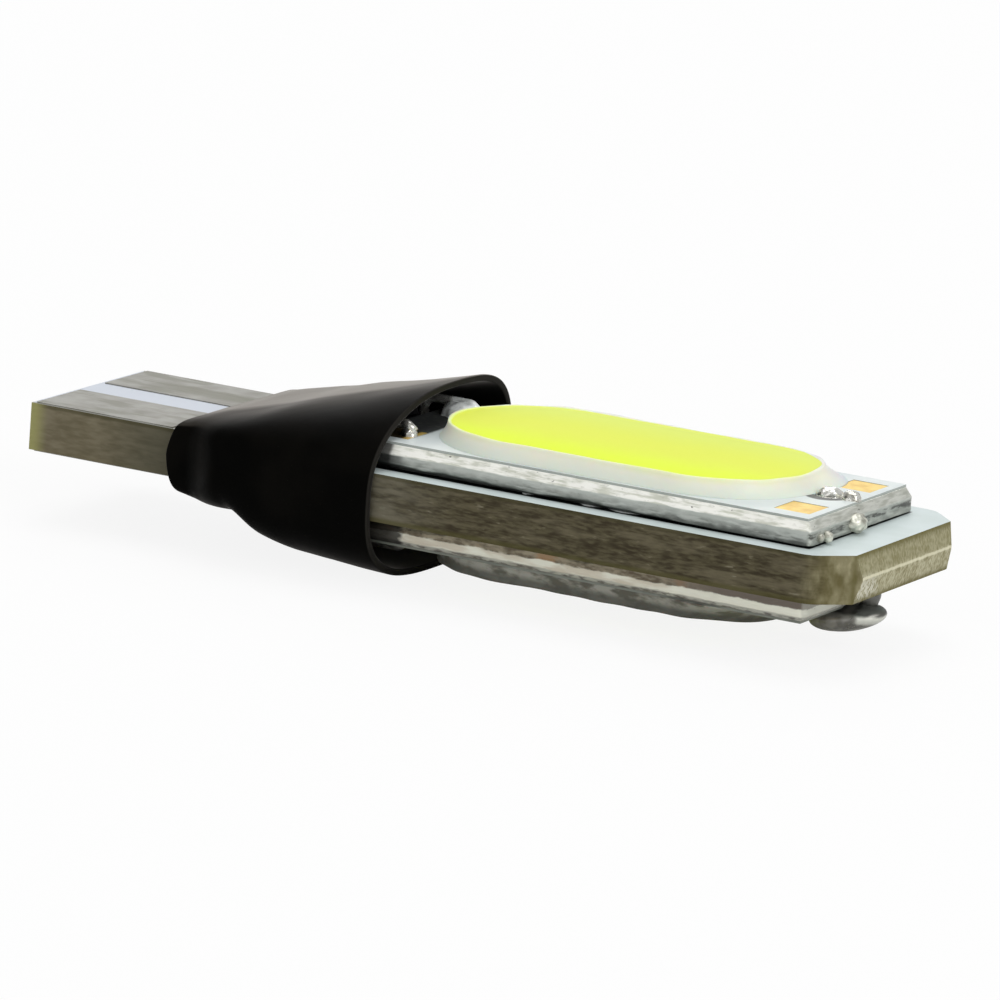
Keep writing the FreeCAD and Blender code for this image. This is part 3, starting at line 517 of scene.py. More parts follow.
# The web is painted darker towards its lower edge: painted shade over the gap under the plate.
web = (height + (mottle - 0.5) * 0.5).rise(PLATE_Z + 0.1, SCORE_Z)
web = web.blend(colour(118, 121, 116), colour(186, 190, 184))
web = (streaks.rise(0.50, 0.66) * 0.45).blend(web, colour(206, 210, 204))
tone = (height + (streaks - 0.5) * 0.10).rise(SCORE_Z - 0.03, SCORE_Z + 0.04).blend(web, bevel)
# Near the sleeve the web is painted dark, and inside it the whole edge: painted shade of the sleeve.
shaded = height.rise(SCORE_Z + 0.02, SCORE_Z - 0.06) * x.rise(SHADED_X, DARK_X)
tone = (shaded * 0.7).blend(tone, colour(40, 41, 40))
tone = (x.rise(DARK_X, DARK_X - 0.2) * 0.8).blend(tone, colour(34, 35, 34))
# The foot of the side webs is painted dark grey: painted shade at the gap under the plate.
web_foot_shade = (height + (mottle - 0.5) * 0.3).rise(PLATE_Z + 0.30, PLATE_Z + 0.08)
tone = (web_foot_shade * (1 - ends) * 0.6).blend(tone, colour(54, 56, 54))
end_web = (streaks * 0.6 + mottle * 0.4).rise(0.32, 0.66)
end_web = end_web.blend(colour(148, 151, 144), colour(196, 199, 190))
tone = (ends * height.rise(SCORE_Z, SCORE_Z - 0.06) * 0.7).blend(tone, end_web)
tone = (pits * 0.7).blend(tone, colour(84, 82, 74))
# A dark band across the plate's ends, low on the web, is painted shade.
recess_shade = abs(height - RECESS_SHADE_Z + (cloud - 0.5) * 0.3).rise(0.18, 0.06)
recess_shade = ends * recess_shade * (cross_way + cloud).rise(0.9, 1.1)
tone = (recess_shade * 0.85).blend(tone, colour(48, 48, 45))
below = lower_side(z)
stains = grain(point, 0.8, detail=5.0, stretch=(2.5, 1.0, 0.6), shift=2.0)
inner = x.rise(CLEAN_SPAN[1], CLEAN_SPAN[0])
crinkled = grain(point, 0.20, detail=5.0, stretch=(2.0, 1.0, 0.8), shift=3.0)
grey = crinkled.rise(0.36, 0.6).blend(colour(118, 115, 108), colour(190, 189, 178))
grey = (stains.rise(0.50, 0.62) * 0.4).blend(grey, colour(112, 104, 92))
crust = (stains * 0.5 + crinkled * 0.5).rise(0.36, 0.6).blend(colour(96, 85, 68), colour(158, 148, 126))
crust = (stains.rise(0.56, 0.64) * 0.5).blend(crust, colour(162, 112, 62))
crust = inner.blend(colour(116, 106, 96), crust)
reach = height + (stains - 0.5) * 0.18 * inner + (crinkled - 0.5) * 0.16
# A near-white band high on the lower plate's edge is a painted highlight, beige where stains reach it.
blotches_and_painted_highlight = (inner * stains.rise(0.6, 0.4)).blend(colour(238, 237, 222), colour(216, 208, 190))
stains_and_painted_light = reach.rise(1.48, 1.55).blend(crust, reach.rise(1.80, 1.90).blend(blotches_and_painted_highlight, grey))
# The edge next to the lower plate's mask is painted darker: painted shade.
shade_next_to_mask = (height + (mottle - 0.5) * 0.1).rise(LAYER_Z - 0.07, LAYER_Z)
stains_and_painted_light = (shade_next_to_mask * 0.5).blend(stains_and_painted_light, colour(84, 82, 72))
stains_and_painted_light = (pits * 0.7).blend(stains_and_painted_light, colour(60, 56, 46))
# Near and inside the sleeve the lower plate's edge is painted near-black: painted shade of the sleeve.
sleeve_shade_below = (x + (crinkled - 0.5) * 0.4).rise(SHADED_X, SHADED_X - 0.3)
stains_and_painted_light = (sleeve_shade_below * 0.9).blend(stains_and_painted_light, colour(22, 19, 14))
tone = below.blend(tone, (ends * 0.5).blend(stains_and_painted_light, colour(182, 182, 172)))
feed(
    shader,
    Base_Color=tone,
    Roughness=cloud * 0.25 + below * 0.10 + 0.34,
    Normal=bumps(start, streaks * 0.4 + mottle * 0.5 - pits * 0.3, 0.04),
)
for face, seed, fullness in (("top", 11, 1.0), ("bottom", 12, 0.45)):
    plate = skin("led_plate_" + face + "_skin", on_face(face, [plate_rings(seed, fullness)]))
    show(plate, aluminium, "plate_aluminium", "led_plate_" + face)


# On each plate lies a thin laminate: dark insulation, copper, and a white mask that leaves the gold pads
# bare. Dust specks and a ring of burnt flux sit on the mask. Along the sleeve's mouth the mask is
# painted near-black, a painted shadow of the sleeve, and on the lower face it is painted darker as
# painted shade.
FLUX_PLACE = (34.72, 0.02, 0.0)
FLUX_R = 0.88
SLEEVE_SHADOW_X = 17.5
SLEEVE_SHADOW_Y = -3.4


def specks(point, spacing, radius, share):
    """1 on small dust specks: some cells of a grid with the given spacing hold a dot of the radius."""
    cells = {"Vector": point, "Scale": 1 / spacing}
    distance = point.add("TexVoronoi", {"feature": "F1"}, cells)
    chance = point.add("TexVoronoi", {"feature": "F1"}, cells, output=1)
    red = point.add("SeparateColor", {}, {0: chance})
    return (distance * spacing).rise(radius, radius * 0.5) * red.rise(1 - share, 1 - share + 0.01)


def upper_side(z):
    """1 on the upper half of the bulb, and 0 on the lower half."""
    return z.rise(0.0, 0.5)


white_mask, shader, start = finish("white_mask", Specular_IOR_Level=0.3)
point, (x, y, z) = place_of(start)
nz = facing(start)[2]
cloud = grain(point, 3.0)
tone = cloud.rise(0.3, 0.7).blend(colour(210, 219, 220), colour(222, 229, 227))
tone = (specks(point, 1.1, 0.07, 0.12) * 0.8).blend(tone, colour(70, 66, 56))
flat_point = start.add("CombineXYZ", {}, {0: x, 1: y})
from_drop = start.add("VectorMath", {"operation": "DISTANCE"}, {0: flat_point, 1: FLUX_PLACE}, output=1)
burnt_flux_and_sleeve_shade = (from_drop + (cloud - 0.5) * 0.25).rise(FLUX_R + 0.10, FLUX_R - 0.02) * upper_side(z)
tone = (burnt_flux_and_sleeve_shade * 0.9).blend(tone, colour(30, 26, 20))
# Along the sleeve's mouth the mask is painted near-black: a painted shadow of the sleeve.
sleeve_shadow = (x + (cloud - 0.5) * 0.3).rise(SLEEVE_SHADOW_X, SLEEVE_SHADOW_X - 0.25)
sleeve_shadow = sleeve_shadow * (y + (cloud - 0.5) * 0.5).rise(SLEEVE_SHADOW_Y, SLEEVE_SHADOW_Y + 0.3) * upper_side(z)
sleeve_shadow_tone = grain(point, 0.30, detail=4.0).rise(0.52, 0.68).blend(colour(3, 3, 3), colour(44, 48, 40))
tone = (sleeve_shadow * 0.95).blend(tone, sleeve_shadow_tone)
# On the lower face the mask is painted a darker mottled grey: painted shade.
lower_face_shade = grain(point, 0.7, detail=4.0).rise(0.3, 0.7).blend(colour(92, 90, 80), colour(142, 140, 128))
tone = (lower_side(z) * 0.8).blend(tone, lower_face_shade)
tone = (abs(nz).rise(0.7, 0.4) * 0.6).blend(tone, colour(112, 118, 106))
feed(
    shader,
    Base_Color=tone,
    Roughness=cloud * 0.1 + sleeve_shadow * 0.45 + 0.33,
    Normal=bumps(start, grain(point, 0.5), 0.01),
)
dress(["circuit_layer_top", "circuit_layer_bottom"], white_mask)


# Four bare pads on each plate for solder, at the bottom of windows in the mask. They are copper with a thin
# gold plating. On the upper face the two at the mouth are painted black as far as the sleeve covers them:
# painted shade of the sleeve.
SLEEVE_SHADE_X = 17.04
gold, shader, start = finish("gold_plate", Metallic=0.45)
point, (x, _, z) = place_of(start)
cloud = grain(point, 0.6, detail=4.0)
fine = grain(point, 0.06)
tone = cloud.rise(0.3, 0.7).blend(colour(220, 182, 92), colour(238, 208, 120))
# Inside the sleeve the pads are painted black: painted shade of the sleeve.
burnt_flux_and_sleeve_shade = x.rise(SLEEVE_SHADE_X + 0.08, SLEEVE_SHADE_X - 0.08) * upper_side(z)
tone = (burnt_flux_and_sleeve_shade * 0.95).blend(tone, colour(14, 13, 12))
feed(
    shader,
    Base_Color=tone,
    Roughness=fine * 0.2 + 0.34,
    Normal=bumps(start, fine, 0.006),
)
dress(["gold_pads_top", "gold_pads_bottom"], gold)


# The light strip: a bead of white silicone is laid round the chips as a dam, and the space inside is
# filled with clear silicone that carries yellow phosphor. The filling creeps up the bead where they meet.
STRAIGHT = 3.90
CREST_R = 4.04
CREST_TURN = math.pi * 0.62
BEAD_R = 0.20
FOOT_R = 4.34
FOOT_SPREAD = 0.12
CORNER_SPREAD = 0.85
CORNER_WAY = (0.70, 0.71)
FAR_SHIFT = 0.13
BULGE = 0.36
BULGE_WAY = (0.73, 0.68)
BREATH = 0.03
FOOT_SUNK = 0.03
MASK_Z = 2.15
CREST_Z = 2.92
FILL_EDGE_Z = 2.87
FILL_DOME = 0.17
FILL_R = CREST_R - 0.09
CREEP = 0.04


def stadium(straight, along=110, around=64):
    """Points on a stadium, anticlockwise from the near left: how far along the middle line each one's
    centre lies, and the way out from there, as arrays."""
    run = np.linspace(-straight, straight, along, endpoint=False)
    bend = np.linspace(-math.pi / 2, math.pi / 2, around, endpoint=False)
    centre = np.concatenate([run, np.full(around, straight), -run, np.full(around, -straight)])
    out_x = np.concatenate([np.zeros(along), np.cos(bend), np.zeros(along), -np.cos(bend)])
    out_y = np.concatenate([np.full(along, -1.0), np.sin(bend), np.full(along, 1.0), -np.sin(bend)])
    return centre, out_x, out_y


def towards(way, right, back):
    """The share from 0 to 1 to which a direction in the plane goes a given way."""
    return np.clip(right * way[0] + back * way[1], 0, 1)


def bead_rings(seed):
    """The dam as a loop of cross-sections along the stadium. A section runs up its inner side, over a
    round crest and down a hollow outer slope to a thin foot, and its size breathes a little on the way.
    The slope runs out wider round the ends, most of all at the far corner of the tip, where the whole
    dam bulges."""
    crest = np.linspace(0.0, CREST_TURN, 16)
    over = np.stack([CREST_R - BEAD_R * np.cos(crest), CREST_Z - BEAD_R + BEAD_R * np.sin(crest)], axis=-1)
    slope = np.linspace(0.0, 1.0, 11)[1:]
    start_r, start_z = over[-1]
    fall = start_z - MASK_Z + FOOT_SUNK
    outer = np.stack([start_r + (FOOT_R - start_r) * slope ** 1.2, start_z - fall * slope ** 0.8], axis=-1)
    inside = np.array([[CREST_R - BEAD_R, MASK_Z - FOOT_SUNK], [CREST_R - BEAD_R, MASK_Z + 0.2]])
    section = np.concatenate([inside, over, outer])[::-1]
    centre, out_x, out_y = stadium(STRAIGHT)
    radius = section[None, :, 0]
    rings = np.stack([
        PLATE_MID_X + centre[:, None] + out_x[:, None] * radius,
        out_y[:, None] * radius,
        np.broadcast_to(section[None, :, 1], (len(centre), len(section))),
    ], axis=-1)
    lift = (rings[..., 2] - MASK_Z) / (CREST_Z - MASK_Z)
    wave = ripple(rings * (1, 1, 0), 2.6, seed)
    rings[..., 2] -= BREATH * lift * (1 + wave)
    wave = ripple(rings * (1, 1, 0), 3.4, seed + 1)
    shift = -BREATH * (1 + wave) * np.clip(lift + 0.3, 0, 1)
    slope = np.clip(1 - lift, 0, 1) * (radius > CREST_R)
    corner = towards(CORNER_WAY, out_x, out_y)[:, None] ** 6
    shift = shift + FOOT_SPREAD * slope ** 3 * out_x[:, None] ** 2 + CORNER_SPREAD * slope ** 1.5 * corner
    shift = shift + FAR_SHIFT * np.clip(out_y, 0, 1)[:, None] * lift
    shift = shift + BULGE * towards(BULGE_WAY, out_x, out_y)[:, None] ** 8
    rings[..., 0] += out_x[:, None] * shift
    rings[..., 1] += out_y[:, None] * shift
    return rings


def gel_rings():
    """The filling as cross-sections from its left end to its right end. Its height is a shallow dome over
    the distance from the stadium's middle line, and rises again by a small creep at the edge. It bulges
    with the dam."""
    reach = STRAIGHT + FILL_R
    x = -reach * np.cos(np.linspace(0.02, math.pi - 0.02, 150))
    past = np.maximum(np.abs(x) - STRAIGHT, 0)
    half = np.sqrt(np.maximum(FILL_R ** 2 - past ** 2, 0))[:, None]
    turn = np.linspace(0, math.pi, 56)[None, :]
    top_y = half * np.cos(turn)
    distance = np.sqrt(past[:, None] ** 2 + top_y ** 2) / FILL_R
    creep = CREEP * np.clip((distance - 0.9) / 0.1, 0, 1) ** 2
    top_z = FILL_EDGE_Z - CREEP + FILL_DOME * (1 - distance ** 2) + creep
    top_y = top_y + FAR_SHIFT * np.clip(top_y / FILL_R, 0, 1)
    low_y = -half * np.cos(turn[:, 1:-1])
    across = np.concatenate([top_y, low_y], axis=1)
    height = np.concatenate([top_z, np.full_like(low_y, MASK_Z + 0.02)], axis=1)
    along = np.broadcast_to(PLATE_MID_X + x[:, None], across.shape)
    past_end = (along - PLATE_MID_X - STRAIGHT) / FILL_R
    bulge = BULGE * towards(BULGE_WAY, past_end, across / FILL_R) ** 8
    return np.stack([along + bulge * past_end, across * (1 + bulge / FILL_R), height], axis=-1)


silicone, shader, start = finish(
    "dam_silicone", Subsurface_Weight=0.25, Subsurface_Scale=0.0006, Specular_IOR_Level=0.25,
)
point, (x, y, z) = place_of(start)
past = start.math("MAXIMUM", abs(x - PLATE_MID_X) - STRAIGHT, 0.0)
from_middle = start.math("SQRT", past * past + y * y)
cloud = grain(point, 1.8)
tone = (z + (cloud - 0.5) * 0.3).rise(2.75, 2.25).blend(colour(240, 238, 220), colour(228, 231, 218))
# The far side is painted pale blue: a painted reflection.
tone = (y.rise(1.0, 3.5) * 0.6).blend(tone, colour(218, 218, 228))
lemon = (from_middle + (cloud - 0.5) * 0.1).rise(CREST_R + 0.10, CREST_R - 0.10)
tone = (lemon * 0.9).blend(tone, colour(236, 248, 110))
tone = (specks(point, 0.9, 0.06, 0.10) * 0.8).blend(tone, colour(74, 70, 58))
mottle = grain(point, 0.5, detail=5.0, stretch=(2.0, 1.0, 1.0), shift=4.0)
# On the lower face the bead is painted dark mottled grey, darkest at its crest: painted shade.
lower_face_shade = mottle.rise(0.40, 0.60).blend(colour(62, 57, 44), colour(150, 148, 138))
lower_face_shade = ((z - (mottle - 0.5) * 0.3).rise(-2.35, -2.70) * 0.85).blend(lower_face_shade, colour(34, 32, 22))
tone = (lower_side(z) * 0.9).blend(tone, lower_face_shade)
feed(
    shader,
    Base_Color=tone,
    Roughness=cloud * 0.12 + 0.26,
    Normal=bumps(start, grain(point, 0.7), 0.02),
)

phosphor, shader, start = finish("phosphor_gel", Specular_IOR_Level=0.1)
point, (_, y, _) = place_of(start)
cloud = grain(point, 2.4)
powder = grain(point, 0.05, detail=2.0)
# The filling is painted paler from the near side to the far side: a painted sheen.
sheen_to_far_side = y + (cloud - 0.5) * 1.6
tone = sheen_to_far_side.rise(-4.0, -0.5).blend(colour(226, 248, 24), colour(227, 238, 74))
tone = sheen_to_far_side.rise(-0.5, 3.6).blend(tone, colour(224, 238, 102))
tone = (powder.rise(0.45, 0.8) * 0.2).blend(tone, colour(222, 238, 30))
tone = (specks(point, 1.7, 0.06, 0.05) * 0.8).blend(tone, colour(120, 110, 40))
feed(
    shader,
    Base_Color=tone,
    Roughness=cloud * 0.1 + 0.42,
    Normal=bumps(start, grain(point, 0.9), 0.012),
)
for face, seed in (("top", 21), ("bottom", 23)):
    dam = skin("dam_" + face + "_bead", on_face(face, [bead_rings(seed)]), loop=True)
    show(dam, silicone, "dam_silicone", "dam_" + face)
    filling = skin("phosphor_" + face + "_gel", on_face(face, [gel_rings()]))
    show(filling, phosphor, "phosphor_gel", "phosphor_" + face)


# Bare blue-green chips stand in two rows under the filling, on the mask. They are sawn from a crystal wafer
# and glued down one by one.
chip, shader, start = finish("chip", Roughness=0.15)
point, _ = place_of(start)
tone = grain(point, 0.2).rise(0.4, 0.6).blend(colour(120, 150, 170), colour(170, 200, 210))
feed(shader, Base_Color=tone, Normal=bumps(start, grain(point, 0.1), 0.01))
dress(["led_chips_top", "led_chips_bottom"], chip)


# Each plate is bedded in white heat-conducting glue. The bed stops short of the plate's edge and leaves
# a dark gap, but in a few places it was squeezed out against the edge.
GLUE_HALF_LEN = 10.0
GLUE_HALF_W = 4.1
GLUE_CORNER = 0.5
GLUE_SWELL = 0.06
SQUEEZED_NEAR = [(7.6, 0.35, 0.42), (10.5, 0.6, 0.4), (12.1, 0.9, 0.5), (17.6, 0.5, 0.2)]
SQUEEZED_FAR = [(4.8, 0.7, 0.4), (13.5, 0.5, 0.35)]


def glue_rings(near, far):
    """The bed from the board to the plate: rings round it whose edge stands out in soft lobes, each with
    its place from the mouth end, its half-length and its reach."""
    x, y, out_x, out_y = rounded_rectangle(GLUE_HALF_LEN, GLUE_HALF_W, GLUE_CORNER)
    swell = GLUE_SWELL * ripple(np.stack([x, y, 0 * x], axis=-1), 1.7, 31)
    for lobes, side in ((near, -1), (far, 1)):
        for place, half_length, out in lobes:
            away = (x + GLUE_HALF_LEN - place) / half_length
            swell = swell + out * np.exp(-away ** 2 * 1.5) * (out_y * side > 0.9)
    rings = []
    for z, inset in ((0.0, 0.02), (0.015, 0.0), (0.035, 0.0), (PLATE_Z - BOARD_HALF_T, 0.02)):
        out = swell - inset
        level = np.full_like(x, BOARD_HALF_T + z)
        rings.append(np.stack([PLATE_MID_X + x + out_x * out, y + out_y * out, level], axis=-1))
    return np.array(rings)


glue, shader, start = finish("thermal_glue", Roughness=0.55)
point, _ = place_of(start)
tone = grain(point, 0.6).rise(0.3, 0.7).blend(colour(196, 200, 198), colour(222, 226, 224))
feed(shader, Base_Color=tone, Normal=bumps(start, grain(point, 0.25), 0.03))
for face, near, far in (("top", SQUEEZED_NEAR, SQUEEZED_FAR), ("bottom", SQUEEZED_FAR, SQUEEZED_NEAR)):
    bed = skin("plate_adhesive_" + face + "_bed", on_face(face, [glue_rings(near, far)]))
    show(bed, glue, "thermal_glue", "plate_adhesive_" + face)


# Two tinned leads run from each plate's pads at the mouth into the sleeve and down to the board, where
# the driver feeds them. They are bent from round wire, and their finish is also that of all the solder:
# bright where it froze clean, dull grey beyond the end of the upper plate and on the lower face.
LEAD_R = 0.20
LEAD_Y = 2.75
LEAD_PATH = [(17.17, 2.31), (16.82, 2.57), (14.63, 2.57), (14.63, 1.0)]
LEAD_BENDS = [0.30, 0.45]
DULL_X = 36.2
SHINE_X = 36.6
SHINE_Z = -2.60
NECK_Z = -2.32


def tube_rings(path, bends, y, radius, around=20):
    """Round wire along a path in the x-z plane: straight runs joined by arcs that touch both, each with
    its own bend radius, and a circle across the wire's direction at each point."""
    path = np.array(path)
    points, ways = [path[0]], []
    for before, corner, after, bend in zip(path, path[1:], path[2:], bends):
        one = (corner - before) / np.linalg.norm(corner - before)
        two = (after - corner) / np.linalg.norm(after - corner)
        angle = math.acos(np.clip(one @ two, -1, 1))
        reach = bend * math.tan(angle / 2)
        side = two - one * (one @ two)
        side = side / np.linalg.norm(side)
        centre = corner - one * reach + side * bend
        for step in np.linspace(0, angle, 9):
            points.append(centre + bend * (one * math.sin(step) - side * math.cos(step)))
            ways.append(one * math.cos(step) + side * math.sin(step))
    points = np.array(points + [path[-1]])
    ways = np.array([ways[0]] + ways + [ways[-1]])
    turn = np.linspace(0, 2 * math.pi, around, endpoint=False)[None, :]
    rings = np.zeros((len(points), around, 3))
    rings[..., 0] = points[:, :1] - radius * np.sin(turn) * ways[:, 1:]
    rings[..., 1] = y + radius * np.cos(turn)
    rings[..., 2] = points[:, 1:] + radius * np.sin(turn) * ways[:, :1]
    return rings


solder, shader, start = finish("solder")
point, (x, y, z) = place_of(start)
nz = facing(start)[2]
cloud = grain(point, 0.50, detail=2.5)
fine = grain(point, 0.10)
tone = cloud.rise(0.34, 0.60).blend(colour(180, 178, 168), colour(248, 248, 242))
# Dark patches where the solder doesn't face up are painted shade.
shade_patches = grain(point, 0.45, detail=2.0, shift=7.0).rise(0.60, 0.68) * nz.rise(0.95, 0.5)
tone = (shade_patches * 0.85).blend(tone, colour(24, 24, 22))
dull = x.rise(DULL_X - 0.1, DULL_X + 0.1) * upper_side(z)
dull_grey = cloud.rise(0.35, 0.6).blend(colour(120, 120, 104), colour(206, 206, 186))
tone = (dull * 0.6).blend(tone, dull_grey)
# The far joint at the mouth is painted near-white and made less metallic: a painted highlight.
white = x.rise(19.0, 18.0) * x.rise(15.8, 16.1) * y.rise(0.5, 1.2)
tone = (white * 0.95).blend(tone, colour(250, 255, 253))
hanging = z.rise(-1.3, -1.8)
smooth_grey = cloud.rise(0.35, 0.65).blend(colour(126, 124, 118), colour(164, 162, 156))
# A near-white patch low on the tip blob is a painted highlight.
shine = (x + (cloud - 0.5) * 1.4).rise(SHINE_X, SHINE_X + 0.5)
shine = shine * (z + (fine - 0.5) * 0.1).rise(SHINE_Z - 0.15, SHINE_Z) * y.rise(0.6, 0.0)
tone = hanging.blend(tone, (shine * 0.9).blend(smooth_grey, colour(240, 240, 230)))
# A dark band round the top of the lower blob, under the plate, is a painted shadow.
neck_shadow = (z + (cloud - 0.5) * 0.3).rise(NECK_Z - 0.08, NECK_Z + 0.08) * lower_side(z)
tone = (neck_shadow * 0.85).blend(tone, colour(30, 29, 26))
# The near joint's side inside the sleeve's mouth is painted black: painted shade of the sleeve.
mouth_shade = y.rise(0.0, -1.0) * x.rise(17.10, 16.86) * z.rise(2.62, 2.36) * z.rise(1.4, 1.6)
tone = (mouth_shade * 0.95).blend(tone, colour(12, 12, 11))
feed(
    shader,
    Base_Color=tone,
    Metallic=0.75 - white * 0.6 - dull * 0.3 - hanging * 0.1,
    Roughness=cloud * 0.22 + white * 0.05 + dull * 0.15 + hanging * 0.08 + 0.12,
    Normal=bumps(start, (cloud * 0.8 + fine * 0.2) * (1 - hanging * 0.8) * (1 - white * 0.6), 0.04),
)
for face in ("top", "bottom"):
    wires = [tube_rings(LEAD_PATH, LEAD_BENDS, side * LEAD_Y, LEAD_R) for side in (-1, 1)]
    leads = skin("mouth_leads_" + face + "_wires", on_face(face, wires))
    show(leads, solder, "solder", "mouth_leads_" + face)


# Where the leads meet the pads sits solder: a big lump on the far pad, painted near-white as a painted
# highlight, and a small one on the near pad, whose side in the sleeve's mouth is painted black as
# painted shade. Both were melted on by hand and froze round the wire.
PAD_Z = 2.13
FAR_JOINT = ((16.52, 2.45, PAD_Z), 0.84, 1.05, 0.62)
NEAR_JOINT = ((16.95, -2.80, PAD_Z), 0.39, 0.39, 0.34)


def drop_rings(place, along, across, height, seed, wrinkle=0.07, size=0.7):
    """A frozen drop on a flat pad, in rings from its foot to its top: a hollow foot that wets the pad, then
    a round cap. Its reach varies by the wrinkle with the ripple."""
    foot = np.array([(1.10, 0.0), (1.03, 0.03), (0.985, 0.09)])
    cap = np.linspace(0.16, math.pi / 2 - 0.03, 20)
    profile = np.concatenate([foot, np.stack([np.cos(cap) ** 0.85, np.sin(cap)], axis=-1)])
    angle = np.linspace(0, 2 * math.pi, 56, endpoint=False)
    unit = np.stack([
        profile[:, :1] * np.cos(angle), profile[:, :1] * np.sin(angle),
        np.broadcast_to(profile[:, 1:], (len(profile), len(angle))),
    ], axis=-1)
    rings = unit * (along, across, height)
    swell = 1 - wrinkle * (1 - ripple(rings + place, size, seed))
    rings[..., :2] *= swell[..., None]
    rings[..., 2] *= swell
    return rings + place


for face in ("top", "bottom"):
    drops = [drop_rings(*FAR_JOINT, seed=41), drop_rings(*NEAR_JOINT, seed=42, size=0.4)]
    joints = skin("mouth_solder_" + face + "_drops", on_face(face, drops))
    show(joints, solder, "solder", "mouth_solder_" + face)


# At the tip, solder ties each plate to the board. On the upper face three drops run in a row over the
# plate's end, with a small splash near the corner; on the lower face hangs one big smooth blob.
FIRST_DROP = ((34.72, 0.35, 2.10), 0.58, 0.58, 0.39)
SECOND_DROP = ((35.74, 0.14, 2.13), 0.46, 0.46, 0.42)
END_DROP = ((36.46, -0.68, 1.44), 0.46, 0.62, 0.43)
SPLASH = ((36.50, -3.34, 1.30), 0.24, 0.26, 0.26)
SMALL_SPLASH = ((36.46, -3.90, 1.32), 0.16, 0.20, 0.18)
BLOB = ((0.0, 0.0, 0.0), 1.73, 1.13, 0.59)
BLOB_PLACE = (36.10, 0.0, -2.62)
BLOB_TILT = math.radians(13.0)
BLOB_NECK = ((36.94, 0.10, -1.525), 0.48, 0.48, 0.73)


def ball_rings(place, along, across, height, seed, wrinkle, size):
    """A frozen ball, in rings from its bottom to its top, whose radii vary by the wrinkle."""
    rise = np.linspace(-math.pi / 2 + 0.06, math.pi / 2 - 0.06, 36)[:, None]
    angle = np.linspace(0, 2 * math.pi, 64, endpoint=False)[None, :]
    rings = np.stack([
        along * np.cos(rise) * np.cos(angle), across * np.cos(rise) * np.sin(angle),
        height * np.sin(rise) + 0 * angle,
    ], axis=-1)
    rings = rings * (1 - wrinkle * (1 - ripple(rings + place, size, seed)))[..., None]
    return rings + place


drops = [
    drop_rings(*FIRST_DROP, seed=51, size=0.45),
    drop_rings(*SECOND_DROP, seed=52, size=0.45),
    ball_rings(*END_DROP, seed=53, wrinkle=0.10, size=0.5),
    ball_rings(*SPLASH, seed=54, wrinkle=0.08, size=0.4),
    ball_rings(*SMALL_SPLASH, seed=57, wrinkle=0.08, size=0.4),
]
joints = skin("tip_solder_top_drops", drops)
show(joints, solder, "solder", "tip_solder_top")
cos, sin = math.cos(BLOB_TILT), math.sin(BLOB_TILT)
lying = np.array([[cos, 0, sin], [0, 1, 0], [-sin, 0, cos]])
blob = [
    ball_rings(*BLOB, seed=55, wrinkle=0.02, size=1.6) @ lying + BLOB_PLACE,
    ball_rings(*BLOB_NECK, seed=56, wrinkle=0.03, size=0.9),
]
joints = skin("tip_solder_bottom_blob", blob)
show(joints, solder, "solder", "tip_solder_bottom")


# The sleeve is a tube of black heat-shrunk plastic over the driver parts. It grips the narrow tail, swells
# over the parts, and ends in a round open mouth that leans to the far side, with its cut rim in sight. Its
# top has a painted sheen towards the far side, and its rim a painted highlight.
SLEEVE_START = 6.8
SLEEVE_END = 17.07
WALL = 0.30
RIM = 0.10
TOP_STATIONS = [(SLEEVE_START, 1.14), (9.83, 1.72), (11.63, 2.24), (14.23, 2.85), (SLEEVE_END, 3.65)]
DEPTH_STATIONS = [
    (SLEEVE_START, 1.6), (8.58, 1.94), (9.9, 1.98), (11.3, 3.08), (12.6, 3.50), (14.0, 3.61),
    (SLEEVE_END, 3.65),
]
WIDTH_STATIONS = [(SLEEVE_START, 4.74), (7.7, 4.74), (9.9, 5.99), (SLEEVE_END, 5.87)]
LOW_POWERS = [(SLEEVE_START, 5.2), (8.58, 3.9), (10.2, 2.85), (13.18, 2.4), (SLEEVE_END, 2.9)]
TAIL_POWER = 12
MOUTH_POWER = 2.9
NEAR_TOP_DROP = 0.6
MOUTH_LEAN = 0.8
LIP_CURL = 0.45
LIP_LEN = 1.6
WAVE = 0.018
CRINKLE = 0.002


def smooth(t):
    """Ease from 0 to 1 with level ends."""
    t = np.clip(t, 0.0, 1.0)
    return t * t * (3 - 2 * t)


def over_stations(stations, x):
    """Value at x of a curve through the stations that never swings past them: between two stations a cubic
    whose end slopes are the harmonic mean of the slopes on both sides, or 0 where these turn round."""
    at, value = np.array(stations).T
    slopes = np.diff(value) / np.diff(at)
    same_way = slopes[:-1] * slopes[1:] > 0
    total = np.where(same_way, slopes[:-1] + slopes[1:], 1.0)
    inner = np.where(same_way, 2 * slopes[:-1] * slopes[1:] / total, 0.0)
    ends = np.concatenate([slopes[:1], inner, slopes[-1:]])
    i = int(np.clip(np.searchsorted(at, x) - 1, 0, len(slopes) - 1))
    span = at[i + 1] - at[i]
    t = min(max((x - at[i]) / span, 0.0), 1.0)
    bend = t * (1 - t) * span * ((1 - t) * ends[i] - t * ends[i + 1])
    return value[i] + (value[i + 1] - value[i]) * smooth(t) + bend


